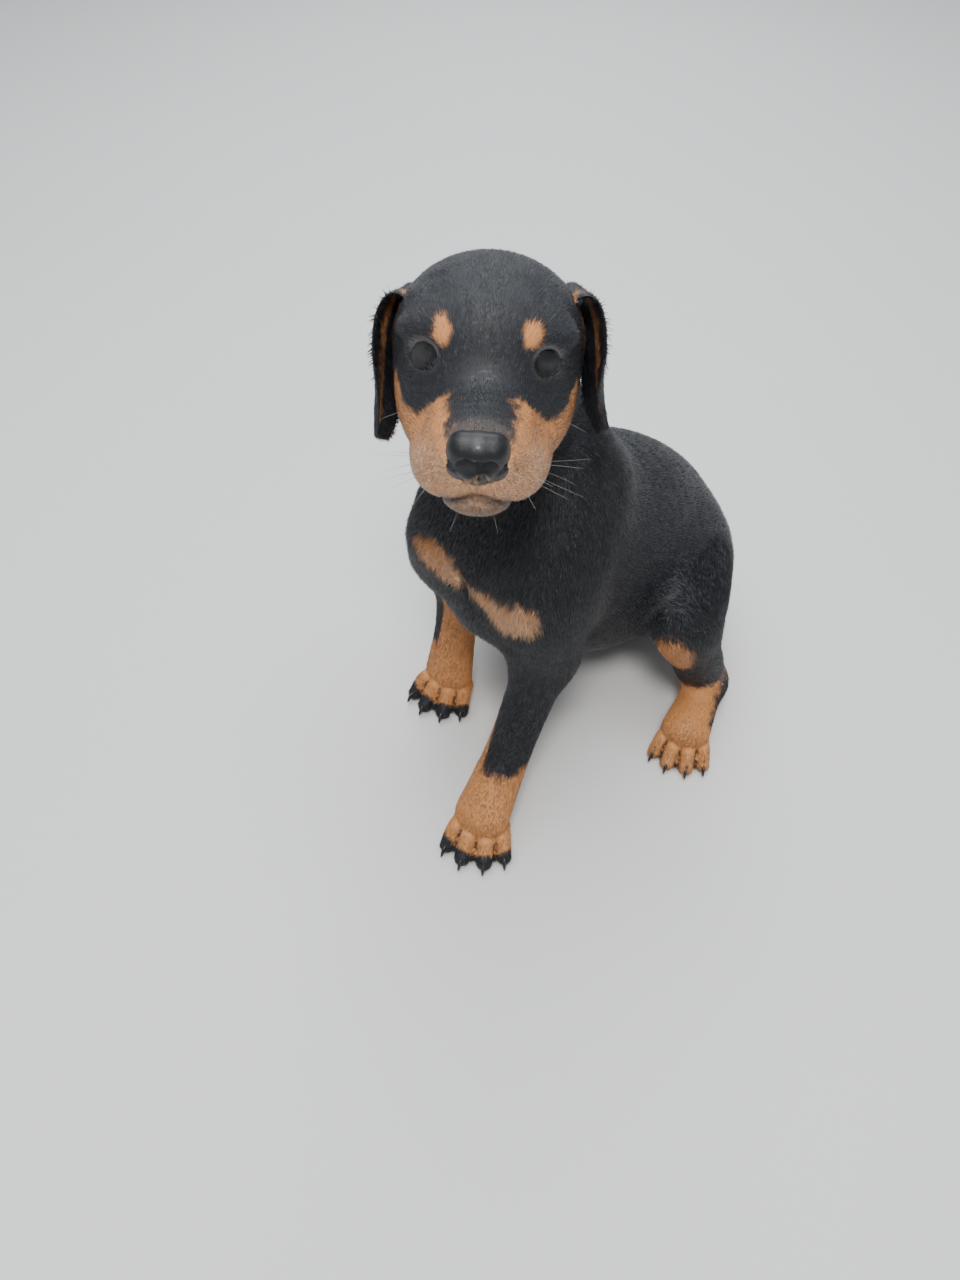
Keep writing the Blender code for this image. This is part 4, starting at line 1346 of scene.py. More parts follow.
    def bare(self, points: Array) -> Array:
        """The share of bare leather: in the lids' openings, the lips and under the paws."""
        head = self.puppy.head
        share = np.zeros(len(points))
        for side in Side:
            out, _ = self.round_eye(points, side)
            share = np.maximum(share, 1 - smooth_step(5.3, 6.0, out))
        mouth = [(Vector(place), 1.0 * MM, 1.0 * MM) for place in head.mouth()]
        share = np.maximum(share, self.inside(points, Tube(mouth, (0, 0, 1), steps=1), 0.5, 71))
        leather = head.oval((0, -73, -25.5), (11, 9, 9))
        share = np.maximum(share, self.inside(points, leather, 0.8, 73))
        soles = 1 - smooth_step(0.8 * MM, 2.4 * MM, points[:, 2])
        return np.maximum(share, soles * (points[:, 1] < 0.14))

    def all(self, points: Array) -> Array:
        """Tan, pale, grey and silver for each point, side by side; the silver holds the painted highlight
        round the lids and the grey the painted shade on the chin.
        """
        shares = [self.tan(points), self.pale(points), self.grey(points), self.silver_and_highlight(points)]
        return np.stack(shares, axis=1)


@dataclass
class Skin:
    """The one skin over the whole body, as a closed mesh."""

    puppy: Puppy
    markings: Markings
    voxel: float = 2.4 * MM
    body_depth: float = 1.15 * MM
    face_depth: float = 0.5 * MM
    # The skin sinks fully within the first distance from an eye's gaze, and not past the second.
    lid_opening: tuple[float, float] = (4.5, 5.1)
    behind_eye: float = 2.2

    def depth(self, points: Array) -> Array:
        """How far the skin lies inside the coat's outer surface."""
        x, y, z = self.puppy.head.inside(points).T
        face = (1 - smooth_step(-30, 40, y)) * smooth_step(-75, -62, z) * (np.abs(x) < 62)
        feet = 1 - smooth_step(25 * MM, 60 * MM, points[:, 2])
        thin = np.maximum(face, feet)
        return self.body_depth + (self.face_depth - self.body_depth) * thin

    def fine_levels(self, points: Array) -> tuple[Array, Array]:
        """Where the mesh is halved once, and where twice."""
        head = self.puppy.head
        x, y, z = head.inside(points).T
        once = (y < 42) & (z > -62) & (np.abs(x) < 60)
        for paw in self.puppy.paws:
            middle = np.array(at_mm(*paw.knuckles) + paw.direction() * 8 * MM)
            flat = np.linalg.norm((points - middle)[:, :2], axis=1)
            once |= (flat < 30 * MM) & (points[:, 2] < 26 * MM)
        twice = (y < -44) & (z > -62) & (np.abs(x) < 40)
        for side in Side:
            centre = np.array(head.eye_place(side))
            twice |= np.linalg.norm(points - centre, axis=1) < 15.5 * MM
        return once, twice

    def add_ears(self, obj: bpy.types.Object) -> None:
        """Joins the ears on, and smooths the folds where they grow out."""
        head = self.puppy.head
        for ear in self.puppy.ears:
            flap = ear.piece(head)
            join = obj.modifiers.new("Join", "BOOLEAN")
            join.operation = "UNION"
            join.object = flap
            join.solver = "MANIFOLD"
            bake(obj)
            bpy.data.objects.remove(flap)
            shape = bmesh.new()
            shape.from_mesh(obj.data)
            sharp = [e for e in shape.edges if e.is_manifold and e.calc_face_angle_signed(0.0) < -0.5]
            root = head.place(ear.path[0][0] * ear.side.value, *ear.path[0][1:3])
            near = {v for e in sharp for v in e.verts if (v.co - root).length < 30 * MM}
            for _ in range(2):
                near |= {edge.other_vert(v) for v in near for edge in v.link_edges}
            for _ in range(6):
                bmesh.ops.smooth_vert(
                    shape, verts=list(near), factor=0.5, use_axis_x=True, use_axis_y=True, use_axis_z=True
                )
            shape.to_mesh(obj.data)
            shape.free()

    def open_lids(self, points: Array) -> Array:
        """Moves the skin inside the lids' openings towards the middle of each eye.

        It is meant to bare the eyeballs, but at full quality the finished skin still covers them.

        Args:
            points: the skin's points.

        Returns:
            The points, with those in the openings moved.
        """
        head = self.puppy.head
        for side in Side:
            out, _ = self.markings.round_eye(points, side)
            centre = np.array(head.eye_place(side))
            offset = points - centre
            away = np.linalg.norm(offset, axis=1)
            sunk = 1 - smooth_step(*self.lid_opening, out)
            goal = np.minimum(away, (head.eye_radius - self.behind_eye) * MM)
            share = (away + (goal - away) * sunk) / (away + 1e-9)
            points = centre + offset * share[:, None]
        return points

    def build(self) -> bpy.types.Object:
        """Models the skin and stores its marks.

        Returns:
            The skin's object.
        """
        flesh = self.puppy.flesh()
        obj = melted("skin", flesh, self.voxel, self.body_depth)
        once, _ = self.fine_levels(coordinates(obj.data))
        refine(obj.data, once)
        points = coordinates(obj.data)
        once, twice = self.fine_levels(points)
        points[once] = flesh.settle(points[once], 2, self.depth(points[once]))
        points[~once] = flesh.settle(points[~once], 1, self.depth(points[~once]))
        move_points(obj.data, points)
        refine(obj.data, twice)
        points = coordinates(obj.data)
        _, twice = self.fine_levels(points)
        points[twice] = flesh.settle(points[twice], 3, self.depth(points[twice]))
        move_points(obj.data, points)
        points = coordinates(obj.data)
        points[:, 2] = points[:, 2].clip(0)
        move_points(obj.data, self.open_lids(points))
        self.add_ears(obj)
        points = coordinates(obj.data)
        point_marks(obj.data, "marks", self.markings.all(points))
        point_value(obj.data, "bare", self.markings.bare(points))
        return obj


@dataclass(frozen=True)
class Patch:
    """One piece of the coat: where it grows, and the size and number of its tufts.

    Sizes are millimetres and degrees; near is places in the body's frame, or in the head's
    frame where on_head is set.
    """

    name: str
    near: tuple
    length: float
    width: float
    lift: float
    per_square_mm: float
    on_head: bool = False
    slot: str = "coat"

    def anchors(self, head: Head) -> Array:
        """The places that the patch grows round, in the body's frame."""
        if self.on_head:
            return np.array([head.place(*place) for place in self.near])
        return np.array(self.near, float) * MM


def mirrored(*places: Place) -> tuple:
    """Places on both sides of the body, from those on its left."""
    return tuple((x * side.value, y, z) for x, y, z in places for side in Side)


PATCHES = (
    Patch(
        "muzzle",
        mirrored((6, -64, -14), (16, -58, -34), (6, -60, -52), (20, -44, -38)),
        2.2, 0.34, 13, 4.6, True,
    ),
    Patch(
        "face",
        mirrored((6, -38, 2), (24, -32, -12), (31, -16, -14), (16, -26, 16)),
        2.9, 0.38, 9, 3.2, True,
    ),
    Patch(
        "crown",
        mirrored(
            (10, -10, 34), (28, -4, 26), (14, 20, 36), (34, 24, 22), (12, 46, 20), (41, 8, 4), (36, 12, -30)
        ),
        3.9, 0.46, 8, 2.3, True,
    ),
    Patch(
        "ears",
        mirrored((50, 10, 10), (54, 8, -4), (54, 6, -18), (50, 5, -36)),
        2.8, 0.4, 8, 2.6, True,
    ),
    Patch("throat", ((-20, 10, 215), (14, 22, 205), (-44, 40, 215), (-8, 4, 185)), 4.6, 0.5, 12, 1.7),
    Patch("nape", ((-30, 84, 232), (6, 84, 220), (-16, 100, 200), (20, 62, 215)), 5.2, 0.52, 10, 1.5),
    Patch(
        "chest",
        ((0, 0, 150), (26, 2, 148), (-26, 2, 150), (0, 4, 128), (0, 14, 104)),
        5.2, 0.46, 15, 2.2,
    ),
    Patch("back", mirrored((14, 104, 170), (18, 130, 150), (20, 160, 124)), 6.2, 0.62, 8, 1.25),
    Patch(
        "side_left",
        ((44, 70, 165), (56, 90, 120), (60, 120, 110), (50, 60, 140)),
        5.8, 0.6, 8, 1.35,
    ),
    Patch(
        "side_right",
        ((-44, 70, 165), (-56, 90, 120), (-60, 120, 110), (-50, 60, 140)),
        5.8, 0.6, 8, 1.35,
    ),
    Patch(
        "haunch_left",
        ((58, 160, 92), (66, 150, 50), (76, 118, 84), (40, 196, 50)),
        5.6, 0.58, 8, 1.5,
    ),
    Patch(
        "haunch_right",
        ((-58, 160, 92), (-66, 150, 50), (-70, 118, 84), (-40, 196, 50)),
        5.6, 0.58, 8, 1.5,
    ),
    Patch("rump", ((0, 200, 80), (0, 210, 30), (0, 236, 50)), 5.6, 0.58, 9, 1.5),
    Patch(
        "belly",
        ((0, 60, 40), (26, 70, 40), (-26, 70, 40), (0, 100, 24), (0, 40, 80)),
        5.2, 0.6, 10, 1.2,
    ),
    Patch("foreleg_left", ((48, 18, 110), (40, 10, 70), (40, -8, 48)), 4.0, 0.44, 9, 2.3),
    Patch("foreleg_right", ((-52, 40, 110), (-46, 44, 70), (-42, 40, 48)), 4.0, 0.44, 9, 2.3),
    Patch("hindlegs", mirrored((88, 116, 46), (90, 128, 24)), 4.2, 0.46, 9, 2.0),
    Patch(
        "paws_left",
        ((42, -34, 22), (52, -56, 10), (101, 92, 18), (106, 72, 10)),
        2.7, 0.38, 10, 3.2, slot="tan_coat",
    ),
    Patch(
        "paws_right",
        ((-39, 28, 20), (-36, 6, 10), (-67, 122, 18), (-70, 96, 10)),
        2.7, 0.38, 10, 3.2, slot="tan_coat",
    ),
)

# Strokes along which the coat is combed, on the head and on the body, in millimetres, each
# drawn on the left as well as on the right.
HEAD_STROKES = (
    ((2, -70, -13), (2, -50, -6), (3, -34, 2), (4, -22, 22), (5, 0, 38), (5, 30, 37), (5, 52, 14)),
    ((12, -62, -16), (13, -46, -8), (13, -36, 4), (13, -26, 20), (22, -8, 30), (28, 14, 28), (26, 38, 20)),
    ((22, -34, 10), (30, -24, 14), (38, -2, 16), (40, 18, 12)),
    ((17, -60, -24), (24, -40, -20), (31, -22, -12), (40, 0, -10), (40, 24, -12)),
    ((14, -70, -32), (22, -54, -36), (28, -32, -38), (34, -6, -40), (34, 20, -40)),
    ((3, -66, -50), (4, -44, -56), (6, -16, -58), (8, 10, -62)),
    ((38, 14, 10), (48, 13, 10), (54, 10, -4), (55, 6, -20), (53, 3, -34)),
    ((40, 14, 6), (46, 13, 7), (49, 10, -6), (49, 7, -20), (46, 4, -40)),
)
BODY_STROKES = (
    ((-6, 84, 236), (4, 96, 205), (4, 116, 172), (4, 150, 142), (4, 190, 100), (4, 214, 66), (0, 248, 42)),
    ((34, 66, 170), (46, 96, 150), (52, 130, 120), (46, 176, 88), (36, 206, 50)),
    ((46, 50, 150), (58, 84, 108), (62, 120, 70), (60, 160, 30)),
    ((8, 14, 215), (6, 4, 185), (6, -2, 160), (6, 6, 120), (6, 36, 78), (6, 80, 34)),
    ((26, 24, 215), (32, 12, 180), (34, 2, 150), (40, 6, 118)),
    ((40, 50, 215), (44, 48, 180), (50, 34, 150), (52, 26, 110)),
    ((60, 150, 96), (78, 118, 96), (94, 112, 60), (98, 120, 28)),
    ((50, 196, 60), (66, 168, 40), (78, 150, 12)),
)


@dataclass
class Coat:
    """The tufts, grown over the skin along the combed strokes."""

    puppy: Puppy
    markings: Markings
    most: int = 48500
    whorl: Place = (-6, -3, 143)

    def strokes(self) -> tuple[Array, Array]:
        """The middle and the direction of each short run of the combed strokes."""
        head = self.puppy.head
        lines = []
        for side in Side:
            for stroke in HEAD_STROKES:
                lines.append([head.place(x * side.value, y, z) for x, y, z in stroke])
            for stroke in BODY_STROKES:
                lines.append([at_mm(x * side.value, y, z) for x, y, z in stroke])
        for leg in self.puppy.forelegs:
            lines.append([at_mm(*leg.shoulder), at_mm(*leg.elbow), at_mm(*leg.wrist), at_mm(*leg.knuckles)])
        for leg in self.puppy.hindlegs:
            lines.append([at_mm(*leg.knee), at_mm(*leg.hock)])
            lines.append([at_mm(*leg.hock), at_mm(*leg.knuckles)])
        for paw in self.puppy.paws:
            for number in range(len(paw.splay)):
                base, knuckle, tip, _ = paw.toe(number)
                lines.append([base, knuckle, tip])
        middles, ways = [], []
        for line in lines:
            smooth = Tube.blend(np.array(line), 4)
            middles.append((smooth[1:] + smooth[:-1]) / 2)
            ways.append(np.diff(smooth, axis=0))
        ways = np.vstack(ways)
        return np.vstack(middles), ways / np.linalg.norm(ways, axis=1)[:, None]

    def lie(self, points: Array) -> Array:
        """The direction in which the coat lies, at each point."""
        middles, ways = self.strokes()
        out = []
        for part in np.array_split(points, max(1, len(points) // 20000)):
            gap = ((part[:, None, :] - middles[None]) ** 2).sum(axis=2) + (3 * MM) ** 2
            weight = 1 / gap**2
            out.append(weight @ ways / weight.sum(axis=1)[:, None])
        out = np.vstack(out)
        whorl = np.array(at_mm(*self.whorl))
        away = points - whorl
        near = np.exp(-((np.linalg.norm(away, axis=1) / (9 * MM)) ** 2))[:, None]
        away /= np.linalg.norm(away, axis=1)[:, None] + 1e-9
        return out / (np.linalg.norm(out, axis=1)[:, None] + 1e-9) * (1 - near) + away * near

    def sizes(self, points: Array) -> tuple[Array, Array]:
        """Each point's own patch, and its tufts' length, width, lift and number a square mm.

        Args:
            points: places on the skin, one a row.

        Returns:
            The patches' numbers, and four columns of sizes that run smoothly over the body.
        """
        gaps = []
        for patch in PATCHES:
            anchors = patch.anchors(self.puppy.head)
            gaps.append(((points[:, None, :] - anchors[None]) ** 2).sum(axis=2).min(axis=1))
        gaps = np.stack(gaps, axis=1)
        weight = 1 / (gaps + (2 * MM) ** 2) ** 2
        weight /= weight.sum(axis=1)[:, None]
        rows = np.array([(p.length, p.width, p.lift, p.per_square_mm) for p in PATCHES])
        return gaps.argmin(axis=1), weight @ rows

    def grow(self, skin: bpy.types.Object) -> list[bpy.types.Object]:
        """Grows every patch of the coat.

        Args:
            skin: the finished skin.

        Returns:
            The new objects, one for each patch.
        """
        mesh = skin.data
        mesh.calc_loop_triangles()
        corners = np.empty(len(mesh.loop_triangles) * 3, dtype=np.int32)
        mesh.loop_triangles.foreach_get("vertices", corners)
        corners = corners.reshape(-1, 3)
        points = coordinates(mesh)
        normals = np.empty(len(mesh.vertices) * 3)
        mesh.vertices.foreach_get("normal", normals)
        normals = normals.reshape(-1, 3)
        flow = self.lie(points)
        bare = self.markings.bare(points)
        owner, sizes = self.sizes(points)
        a, b, c = points[corners[:, 0]], points[corners[:, 1]], points[corners[:, 2]]
        area = np.linalg.norm(np.cross(b - a, c - a), axis=1) / 2 / MM**2
        hairy = (1 - bare[corners].max(axis=1)) * (points[corners][:, :, 2].min(axis=1) > 0.3 * MM)
        wanted = area * hairy * sizes[corners[:, 0], 3]
        made = []
        for number, patch in enumerate(PATCHES):
            draw = np.random.default_rng(SEED + number)
            mine = np.flatnonzero((owner[corners[:, 0]] == number) & (wanted > 0))
            share = wanted[mine]
            count = int(min(share.sum(), self.most))
            if count == 0:
                continue
            picked = mine[draw.choice(len(mine), count, p=share / share.sum())]
            u, v = draw.random(count), draw.random(count)
            over = u + v > 1
            u[over], v[over] = 1 - u[over], 1 - v[over]
            weights = np.stack([1 - u - v, u, v], axis=1)
            rows = corners[picked]
            stored = (points, normals, flow, sizes)
            blend = [np.einsum("nk,nkd->nd", weights, values[rows]) for values in stored]
            made.append(self.patch(patch, *blend, draw))
        return made

    def patch(
        self,
        patch: Patch,
        roots: Array,
        normals: Array,
        flow: Array,
        sizes: Array,
        draw: np.random.Generator,
    ) -> bpy.types.Object:
        """One piece of the coat: a slim four-sided tuft for each root.

        Args:
            patch: which piece.
            roots: where the tufts grow.
            normals: the skin's outward direction there.
            flow: the lie of the coat there.
            sizes: the tufts' length, width, lift and number there.
            draw: the random draws.

        Returns:
            The new object.
        """
        count = len(roots)
        normals = normals / np.linalg.norm(normals, axis=1)[:, None]
        lie = flow - normals * (flow * normals).sum(axis=1)[:, None]
        lie /= np.linalg.norm(lie, axis=1)[:, None] + 1e-9
        side = np.cross(normals, lie)
        swing = ripple(roots, 9 * MM, 81) * 0.13 + draw.normal(0, 0.15, count)
        lie, side = (
            lie * np.cos(swing)[:, None] + side * np.sin(swing)[:, None],
            side * np.cos(swing)[:, None] - lie * np.sin(swing)[:, None],
        )
        length = sizes[:, 0] * draw.uniform(0.7, 1.2, count) * MM
        width = sizes[:, 1] * draw.uniform(0.7, 1.25, count) * MM
        lift = np.radians(sizes[:, 2] * draw.uniform(0.5, 1.7, count))
        roll = draw.normal(0, 0.25, count)[:, None]
        base = roots - normals * 0.25 * MM
        ahead = lie * np.cos(lift)[:, None] + normals * np.sin(lift)[:, None]
        across = side * np.cos(roll) + normals * np.sin(roll)
        corners = np.stack(
            [
                base + across * width[:, None] / 2,
                base - across * width[:, None] / 2,
                base + normals * width[:, None] * 0.4,
                base + ahead * length[:, None],
            ],
            axis=1,
        )
        corners[:, :, 2] = np.maximum(corners[:, :, 2], 0.1 * MM)
        faces = np.array([(0, 2, 3), (2, 1, 3), (0, 3, 1), (0, 1, 2)])
        obj = joined_mesh(f"coat_{patch.name}", corners, faces)
        marks = self.markings.all(roots)
        point_marks(obj.data, "marks", np.repeat(marks, 4, axis=0))
        point_value(obj.data, "strand", np.repeat(draw.random(count), 4))
        point_value(obj.data, "along", np.tile([0.0, 0.0, 0.0, 1.0], count))
        self.unwrap(obj, roots)
        return obj

    @staticmethod
    def unwrap(obj: bpy.types.Object, roots: Array) -> None:
        """Gives each tuft a small patch of the map, at its root's place round the piece's axis.

        Args:
            obj: the piece of coat.
            roots: where the tufts grow.
        """
        middle = roots.mean(axis=0)
        _, _, axes = np.linalg.svd(roots - middle, full_matrices=False)
        long, wide, deep = axes
        offset = roots - middle
        around = np.arctan2(offset @ deep, offset @ wide) / (2 * math.pi) + 0.5
        along = offset @ long
        along = (along - along.min()) / (np.ptp(along) + 1e-9)
        place = np.stack([around, along], axis=1) * 0.99 + 0.003
        nudge = np.array([(-1, -1), (1, -1), (0, 0.2), (0, 1)]) * 0.0015
        corners = (place[:, None, :] + nudge[None]).reshape(-1, 2)
        mesh = obj.data
        loops = np.empty(len(mesh.loops), dtype=np.int32)
        mesh.loops.foreach_get("vertex_index", loops)
        layer = mesh.uv_layers.new(name="OFBake")
        layer.data.foreach_set("uv", corners[loops].astype(np.float32).ravel())


def joined_mesh(name: str, corners: Array, faces: Array) -> bpy.types.Object:
    """One mesh of many like small solids.

    Args:
        name: the piece's name.
        corners: the solids' corners, as solid, corner and place.
        faces: the corners of each triangle, the same for every solid.

    Returns:
        The new object.
    """
    count, each = corners.shape[:2]
    mesh = bpy.data.meshes.new(name)
    mesh.vertices.add(count * each)
    mesh.vertices.foreach_set("co", corners.reshape(-1))
    rows = (faces[None] + np.arange(count)[:, None, None] * each).reshape(-1)
    mesh.loops.add(len(rows))
    mesh.loops.foreach_set("vertex_index", rows.astype(np.int32))
    mesh.polygons.add(len(rows) // 3)
    mesh.polygons.foreach_set("loop_start", np.arange(0, len(rows), 3, dtype=np.int32))
    mesh.update(calc_edges=True)
    obj = bpy.data.objects.new(name, mesh)
    bpy.context.scene.collection.objects.link(obj)
    return obj


@dataclass(frozen=True)
class Eye:
    """An eyeball with its cornea, and the dark rims of its lids, in millimetres."""

    head: Head
    side: Side
    cornea: float = 0.55
    iris_angle: float = 0.78
    rim: float = 0.5

    def ball(self) -> bpy.types.Object:
        """The eyeball, with the angle from its gaze stored for its finish."""
        radius = self.head.eye_radius * MM
        shape = bmesh.new()
        turn = self.head.gaze(self.side).to_track_quat("Z", "Y").to_matrix().to_4x4()
        bmesh.ops.create_uvsphere(shape, u_segments=64, v_segments=48, radius=radius)
        for vert in shape.verts:
            angle = math.acos(max(-1.0, min(1.0, vert.co.z / radius)))
            bulge = max(0.0, 1 - (angle / (self.iris_angle * 1.05)) ** 2)
            vert.co.z += self.cornea * MM * bulge**0.8
        local = [vert.co.copy() for vert in shape.verts]
        centre = self.head.eye_place(self.side)
        bmesh.ops.transform(shape, matrix=Matrix.Translation(centre) @ turn, verts=shape.verts)
        obj = new_piece(f"eyeball_{self.side.word}", shape)
        angles = np.array([math.atan2(math.hypot(p.x, p.y), p.z) for p in local])
        point_value(obj.data, "gaze_angle", (angles / (self.iris_angle * 1.12)).clip(0, 1))
        turns = np.array([math.atan2(p.y, p.x) for p in local])
        around = np.stack([np.cos(turns) * 3, np.sin(turns) * 3, angles], axis=1)
        layer = obj.data.attributes.new("around", "FLOAT_VECTOR", "POINT")
        layer.data.foreach_set("vector", around.astype(np.float32).ravel())
        return obj

    def rims(self) -> bpy.types.Object:
        """The dark, moist rims of the two lids, as one hoop, thick over the top as painted shade of the upper
        lid and lighter below as a painted reflection.
        """
        stations = []
        turns = 60
        for step in range(turns + 1):
            degrees = 360 * step / turns
            upper = max(0.0, math.sin(math.radians(degrees)))
            # The rim is the lid's own dark edge; over the top it thickens into a dark band that stands for
            # the upper lid's shadow on the eye.
            thick = (self.rim + 0.75 * upper) * MM
            place = self.head.eye_lid_point(self.side, degrees, 1.02 - 0.08 * upper, 0.3 + 0.3 * upper)
            stations.append((place, thick, thick))
        shape = bmesh.new()
        lofted(shape, Tube(stations, self.head.axis(0, -1, 0.2), steps=1), 10, closed=True)
        bmesh.ops.recalc_face_normals(shape, faces=shape.faces)
        obj = new_piece(f"lid_rims_{self.side.word}", shape)
        up = np.array(self.head.lids_turn(self.side).col[2])
        height = (coordinates(obj.data) - np.array(self.head.eye_place(self.side))) @ up / MM
        # The lower rim takes the finish's lighter colour, a painted reflection on the wet lid edge.
        point_value(obj.data, "along", 1 - smooth_step(-3.2, -0.8, height))
        return obj

    def tear_corner(self) -> bpy.types.Object:
        """The moist grey-pink flesh in the inner corner of the lids."""
        shape = bmesh.new()
        place = self.head.eye_lid_point(self.side, 180, 0.86, -1.4)
        matrix = Matrix.Translation(place) @ self.head.lids_turn(self.side).to_4x4()
        size = Matrix.Diagonal((2.2 * MM, 1.6 * MM, 1.5 * MM, 1))
        bmesh.ops.create_icosphere(shape, subdivisions=3, radius=1, matrix=matrix @ size)
        return new_piece(f"tear_corner_{self.side.word}", shape)


@dataclass(frozen=True)
class Nose:
    """The nose leather: a middle boss and two wings, with comma-shaped nostrils."""

    head: Head
    forms: tuple = (
        ((0, -72.5, -22.0), (9.0, 8.0, 7.4)),
        ((6.4, -71.3, -22.2), (5.8, 7.4, 6.8)),
        ((-6.4, -71.3, -22.2), (5.8, 7.4, 6.8)),
        ((6.2, -71.5, -28.0), (6.0, 6.2, 5.6)),
        ((-6.2, -71.5, -28.0), (6.0, 6.2, 5.6)),
        ((0, -72.5, -29.0), (5.2, 6.6, 6.2)),
    )
    nostril: tuple = (
        (4.7, -83.0, -26.6, 2.0),
        (5.0, -78.0, -25.8, 2.1),
        (5.6, -72.0, -24.5, 1.6),
    )
    alar_slit: tuple = (
        (5.4, -79.5, -27.2, 1.1),
        (8.2, -78.0, -27.4, 1.1),
        (10.6, -75.0, -26.4, 1.0),
        (12.4, -71.5, -24.4, 0.8),
    )

    def build(self, voxel: float) -> bpy.types.Object:
        """Models the nose.

        Args:
            voxel: about how wide its faces are, in metres.

        Returns:
            The new object.
        """
        flesh = Flesh()
        for place, radii in self.forms:
            flesh.add(self.head.oval(place, radii), 2.5 * MM)
        for side in Side:
            for opening in (self.nostril, self.alar_slit):
                path = [(x * side.value, y, z, r, r) for x, y, z, r in opening]
                flesh.carve(self.head.tube(path), 0.9 * MM)
        slit = ((0, -81.0, -25.5, 0.35, 0.5), (0, -79.6, -29.5, 0.35, 0.5), (0, -75, -34.5, 0.35, 0.5))
        flesh.carve(self.head.tube(slit), 0.9 * MM)
        return melted("nose_leather", flesh, voxel)


@dataclass(frozen=True)
class Whiskers:
    """The fine whiskers of the lips, brows and chin."""

    head: Head
    thick: float = 0.11 * MM
    # Root on the left side, the way it points, and its length, in the head's frame.
    rows: tuple = (
        ((17, -66, -31), (0.8, -0.55, -0.15), 15),
        ((19, -62, -35), (0.85, -0.3, -0.3), 19),
        ((20.5, -57, -31), (0.95, -0.1, 0.05), 20),
        ((22, -53, -37), (0.9, 0.05, -0.35), 21),
        ((23, -48, -33), (0.95, 0.25, 0.0), 22),
        ((25, -43, -38), (0.9, 0.3, -0.35), 19),
        ((17, -68, -36), (0.55, -0.6, -0.6), 11),
        ((22, -29, 15), (0.35, -0.7, 0.65), 12),
        ((18, -31, 17), (0.15, -0.75, 0.7), 10),
        ((7, -67, -49), (0.3, -0.7, -0.7), 8),
        ((33, -18, -24), (0.9, -0.2, -0.3), 12),
    )

    def build(self) -> bpy.types.Object:
        """Models them all as one piece.

        Returns:
            The new object.
        """
        shape = bmesh.new()
        draw = np.random.default_rng(SEED)
        lengths = []
        for side in Side:
            for root, way, length in self.rows:
                start = self.head.place(root[0] * side.value, *root[1:])
                ahead = self.head.axis(way[0] * side.value, *way[1:]).normalized()
                sag = Vector((0, 0, -0.10 * length * draw.uniform(0.5, 1.5))) * MM
                sweep = self.head.axis(0, 0.16 * length * draw.uniform(0.6, 1.4), 0) * MM
                reach = length * draw.uniform(0.85, 1.1) * MM
                stations = []
                for share in (0.0, 0.35, 0.7, 1.0):
                    place = start + ahead * reach * share + (sag + sweep) * share**2
                    width = self.thick * (1 - 0.8 * share)
                    stations.append((place, width, width))
                tube = Tube(stations, self.head.axis(0, 0, 1), steps=2)
                lofted(shape, tube, 5)
                lengths += [row / (len(tube.places) - 1) for row in range(len(tube.places)) for _ in range(5)]
        bmesh.ops.recalc_face_normals(shape, faces=shape.faces)
        obj = new_piece("whiskers", shape)
        point_value(obj.data, "along", np.array(lengths))
        return obj


@dataclass(frozen=True)
class Studio:
    """The pale floor, the soft lights and the camera."""

    shift: Vector
    camera_place: Place = (220.1, -252.0, 498.6)
    turn: float = math.radians(40.0)
    dip: float = math.radians(50.0)
    lens: float = 36 * 961 / 1280
    floor_size: float = 3.0
    # Each light's name, place and aim, then its side in metres, its watts and its tint.
    lights: tuple = (
        ("sky", (-0.25, 0.1, 1.6), (0, 0, 0.1), 1.2, 24, (0.93, 0.97, 1.0)),
        ("window", (0.36, -0.56, 1.34), (0, -0.05, 0.2), 0.36, 14, (1.0, 0.98, 0.95)),
        ("back", (-0.9, 1.1, 1.0), (0, 0, 0.15), 0.8, 9, (0.95, 0.98, 1.0)),
    )
    air: Colour = (0.80, 0.84, 0.90, 1)
    air_strength: float = 0.42

    def camera(self) -> None:
        """Places the camera as the photograph's was."""
        ahead = Vector((-math.sin(self.turn), math.cos(self.turn), 0)) * math.cos(self.dip)
        ahead += Vector((0, 0, -1)) * math.sin(self.dip)
        data = bpy.data.cameras.new("camera")
        data.sensor_fit = "AUTO"
        data.sensor_width = 36
        data.lens = self.lens
        data.clip_start = 0.01
        camera = bpy.data.objects.new("camera", data)
        camera.location = at_mm(*self.camera_place) + self.shift
        camera.rotation_mode = "QUATERNION"
        camera.rotation_quaternion = ahead.to_track_quat("-Z", "Y")
        bpy.context.scene.collection.objects.link(camera)
        bpy.context.scene.camera = camera

    def light(self, name: str, place: Place, aim: Place, size: float, power: float, tint: Place) -> None:
        """Adds one soft square light.

        Args:
            name: its name.
            place: where it hangs, in metres.
            aim: what it is turned to, in metres.
            size: the side of the square, in metres.
            power: in watts.
            tint: its colour.
        """
        data = bpy.data.lights.new(name, "AREA")
        data.energy = power
        data.size = size
        data.color = tint
        lamp = bpy.data.objects.new(name, data)
        lamp.location = place
        lamp.rotation_mode = "QUATERNION"
        lamp.rotation_quaternion = (Vector(aim) - Vector(place)).to_track_quat("-Z", "Y")
        bpy.context.scene.collection.objects.link(lamp)

    def build(self) -> None:
        """Sets up the floor, the lights and the camera."""
        shape = bmesh.new()
        bmesh.ops.create_grid(shape, x_segments=1, y_segments=1, size=self.floor_size)
        floor = new_piece("floor", shape)
        floor.data.materials.append(FloorFinish().material())
        for row in self.lights:
            self.light(*row)
        world = bpy.data.worlds.new("studio")
        bpy.context.scene.world = world
        world.use_nodes = True
        background = world.node_tree.nodes["Background"]
        background.inputs["Color"].default_value = self.air
        background.inputs["Strength"].default_value = self.air_strength
        self.camera()


FLESH_NODES = (
    ["head", "neck", "torso", "tail"]
    + [
        f"{part}_{side.word}"
        for part in ("ear", "foreleg", "hindleg", "forepaw", "hindpaw")
        for side in Side
    ]
)


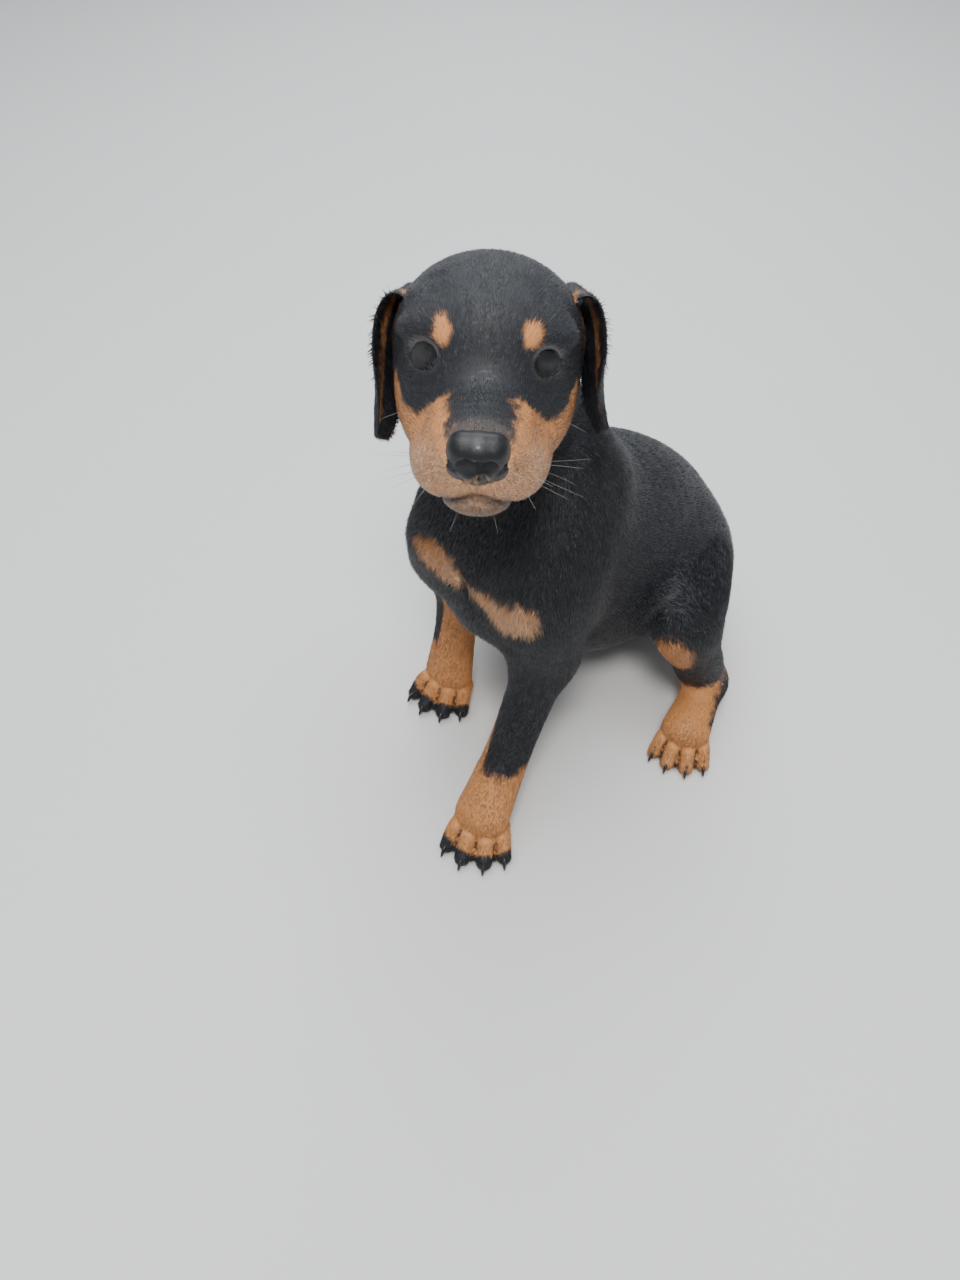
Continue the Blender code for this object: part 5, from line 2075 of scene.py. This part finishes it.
def finish_piece(
    obj: bpy.types.Object,
    material: bpy.types.Material,
    shift: Vector,
    replaces: Sequence[str] = (),
    smooth: bool = True,
) -> None:
    """Dresses a piece and sets it on the frame.

    Args:
        obj: the piece, still in the pose's frame.
        material: its finish.
        shift: how the pose's frame lies in the part's frame.
        replaces: the CAD nodes that it stands for.
        smooth: shades it smooth.
    """
    obj.data.materials.clear()
    obj.data.materials.append(material)
    obj.data.transform(Matrix.Translation(shift))
    if smooth:
        obj.data.shade_smooth()
    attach(obj, BODY)
    if replaces:
        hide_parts(*replaces)
    LOG.info("%s: %d faces", obj.name, len(obj.data.polygons))


def main() -> None:
    """Builds the puppy and its studio."""
    logging.basicConfig(level=logging.INFO, format="%(message)s")
    paws = (
        Paw("forepaw_left", LEFT_FORELEG.knuckles, LEFT_FORELEG.heading, 33.5),
        Paw("forepaw_right", RIGHT_FORELEG.knuckles, RIGHT_FORELEG.heading, 33.5),
        Paw("hindpaw_left", LEFT_HINDLEG.knuckles, LEFT_HINDLEG.heading, 30.5),
        Paw("hindpaw_right", RIGHT_HINDLEG.knuckles, RIGHT_HINDLEG.heading, 30.5),
    )
    puppy = Puppy(
        Head(),
        Trunk(),
        (LEFT_FORELEG, RIGHT_FORELEG),
        (LEFT_HINDLEG, RIGHT_HINDLEG),
        paws,
        (LEFT_EAR, RIGHT_EAR),
    )
    shift = puppy.shift()
    Studio(shift).build()
    markings = Markings(puppy)
    skin = Skin(puppy, markings).build()
    coat = Coat(puppy, markings).grow(skin)
    finish_piece(skin, SkinFinish().material(), shift, FLESH_NODES)
    coat_finish = CoatFinish().material()
    for obj, patch in zip(coat, PATCHES):
        finish_piece(obj, coat_finish, shift, smooth=False)
    eye_finish = EyeFinish().material()
    # Dark lid rims whose lighter blue-grey below is a painted reflection.
    rim_reflection_finish = HornFinish(
        "lid_rim_reflection_finish", (0.006, 0.006, 0.008, 1), (0.20, 0.21, 0.25, 1), 0.22
    ).material()
    tear_finish = LeatherFinish("tear_finish", (0.11, 0.085, 0.10, 1), 0.25, 0.6, 0.1, 0.8).material()
    for side in Side:
        eye = Eye(puppy.head, side)
        finish_piece(eye.ball(), eye_finish, shift, [f"eye_{side.word}"])
        finish_piece(eye.rims(), rim_reflection_finish, shift)
        finish_piece(eye.tear_corner(), tear_finish, shift)
    nose = Nose(puppy.head).build((0.5) * MM)
    finish_piece(nose, LeatherFinish().material(), shift, ["nose"])
    claw_finish = HornFinish(
        "claw_finish", (0.020, 0.016, 0.014, 1), (0.05, 0.04, 0.035, 1), 0.3
    ).material()
    for paw in paws:
        nodes = [f"claw_{paw.name}_{number + 1}" for number in range(len(paw.splay))]
        finish_piece(paw.claws(), claw_finish, shift, nodes)
    whisker_finish = HornFinish(
        "whisker_finish", (0.05, 0.045, 0.04, 1), (0.5, 0.48, 0.46, 1), 0.35
    ).material()
    finish_piece(Whiskers(puppy.head).build(), whisker_finish, shift)


if __name__ == "__main__":
    main()
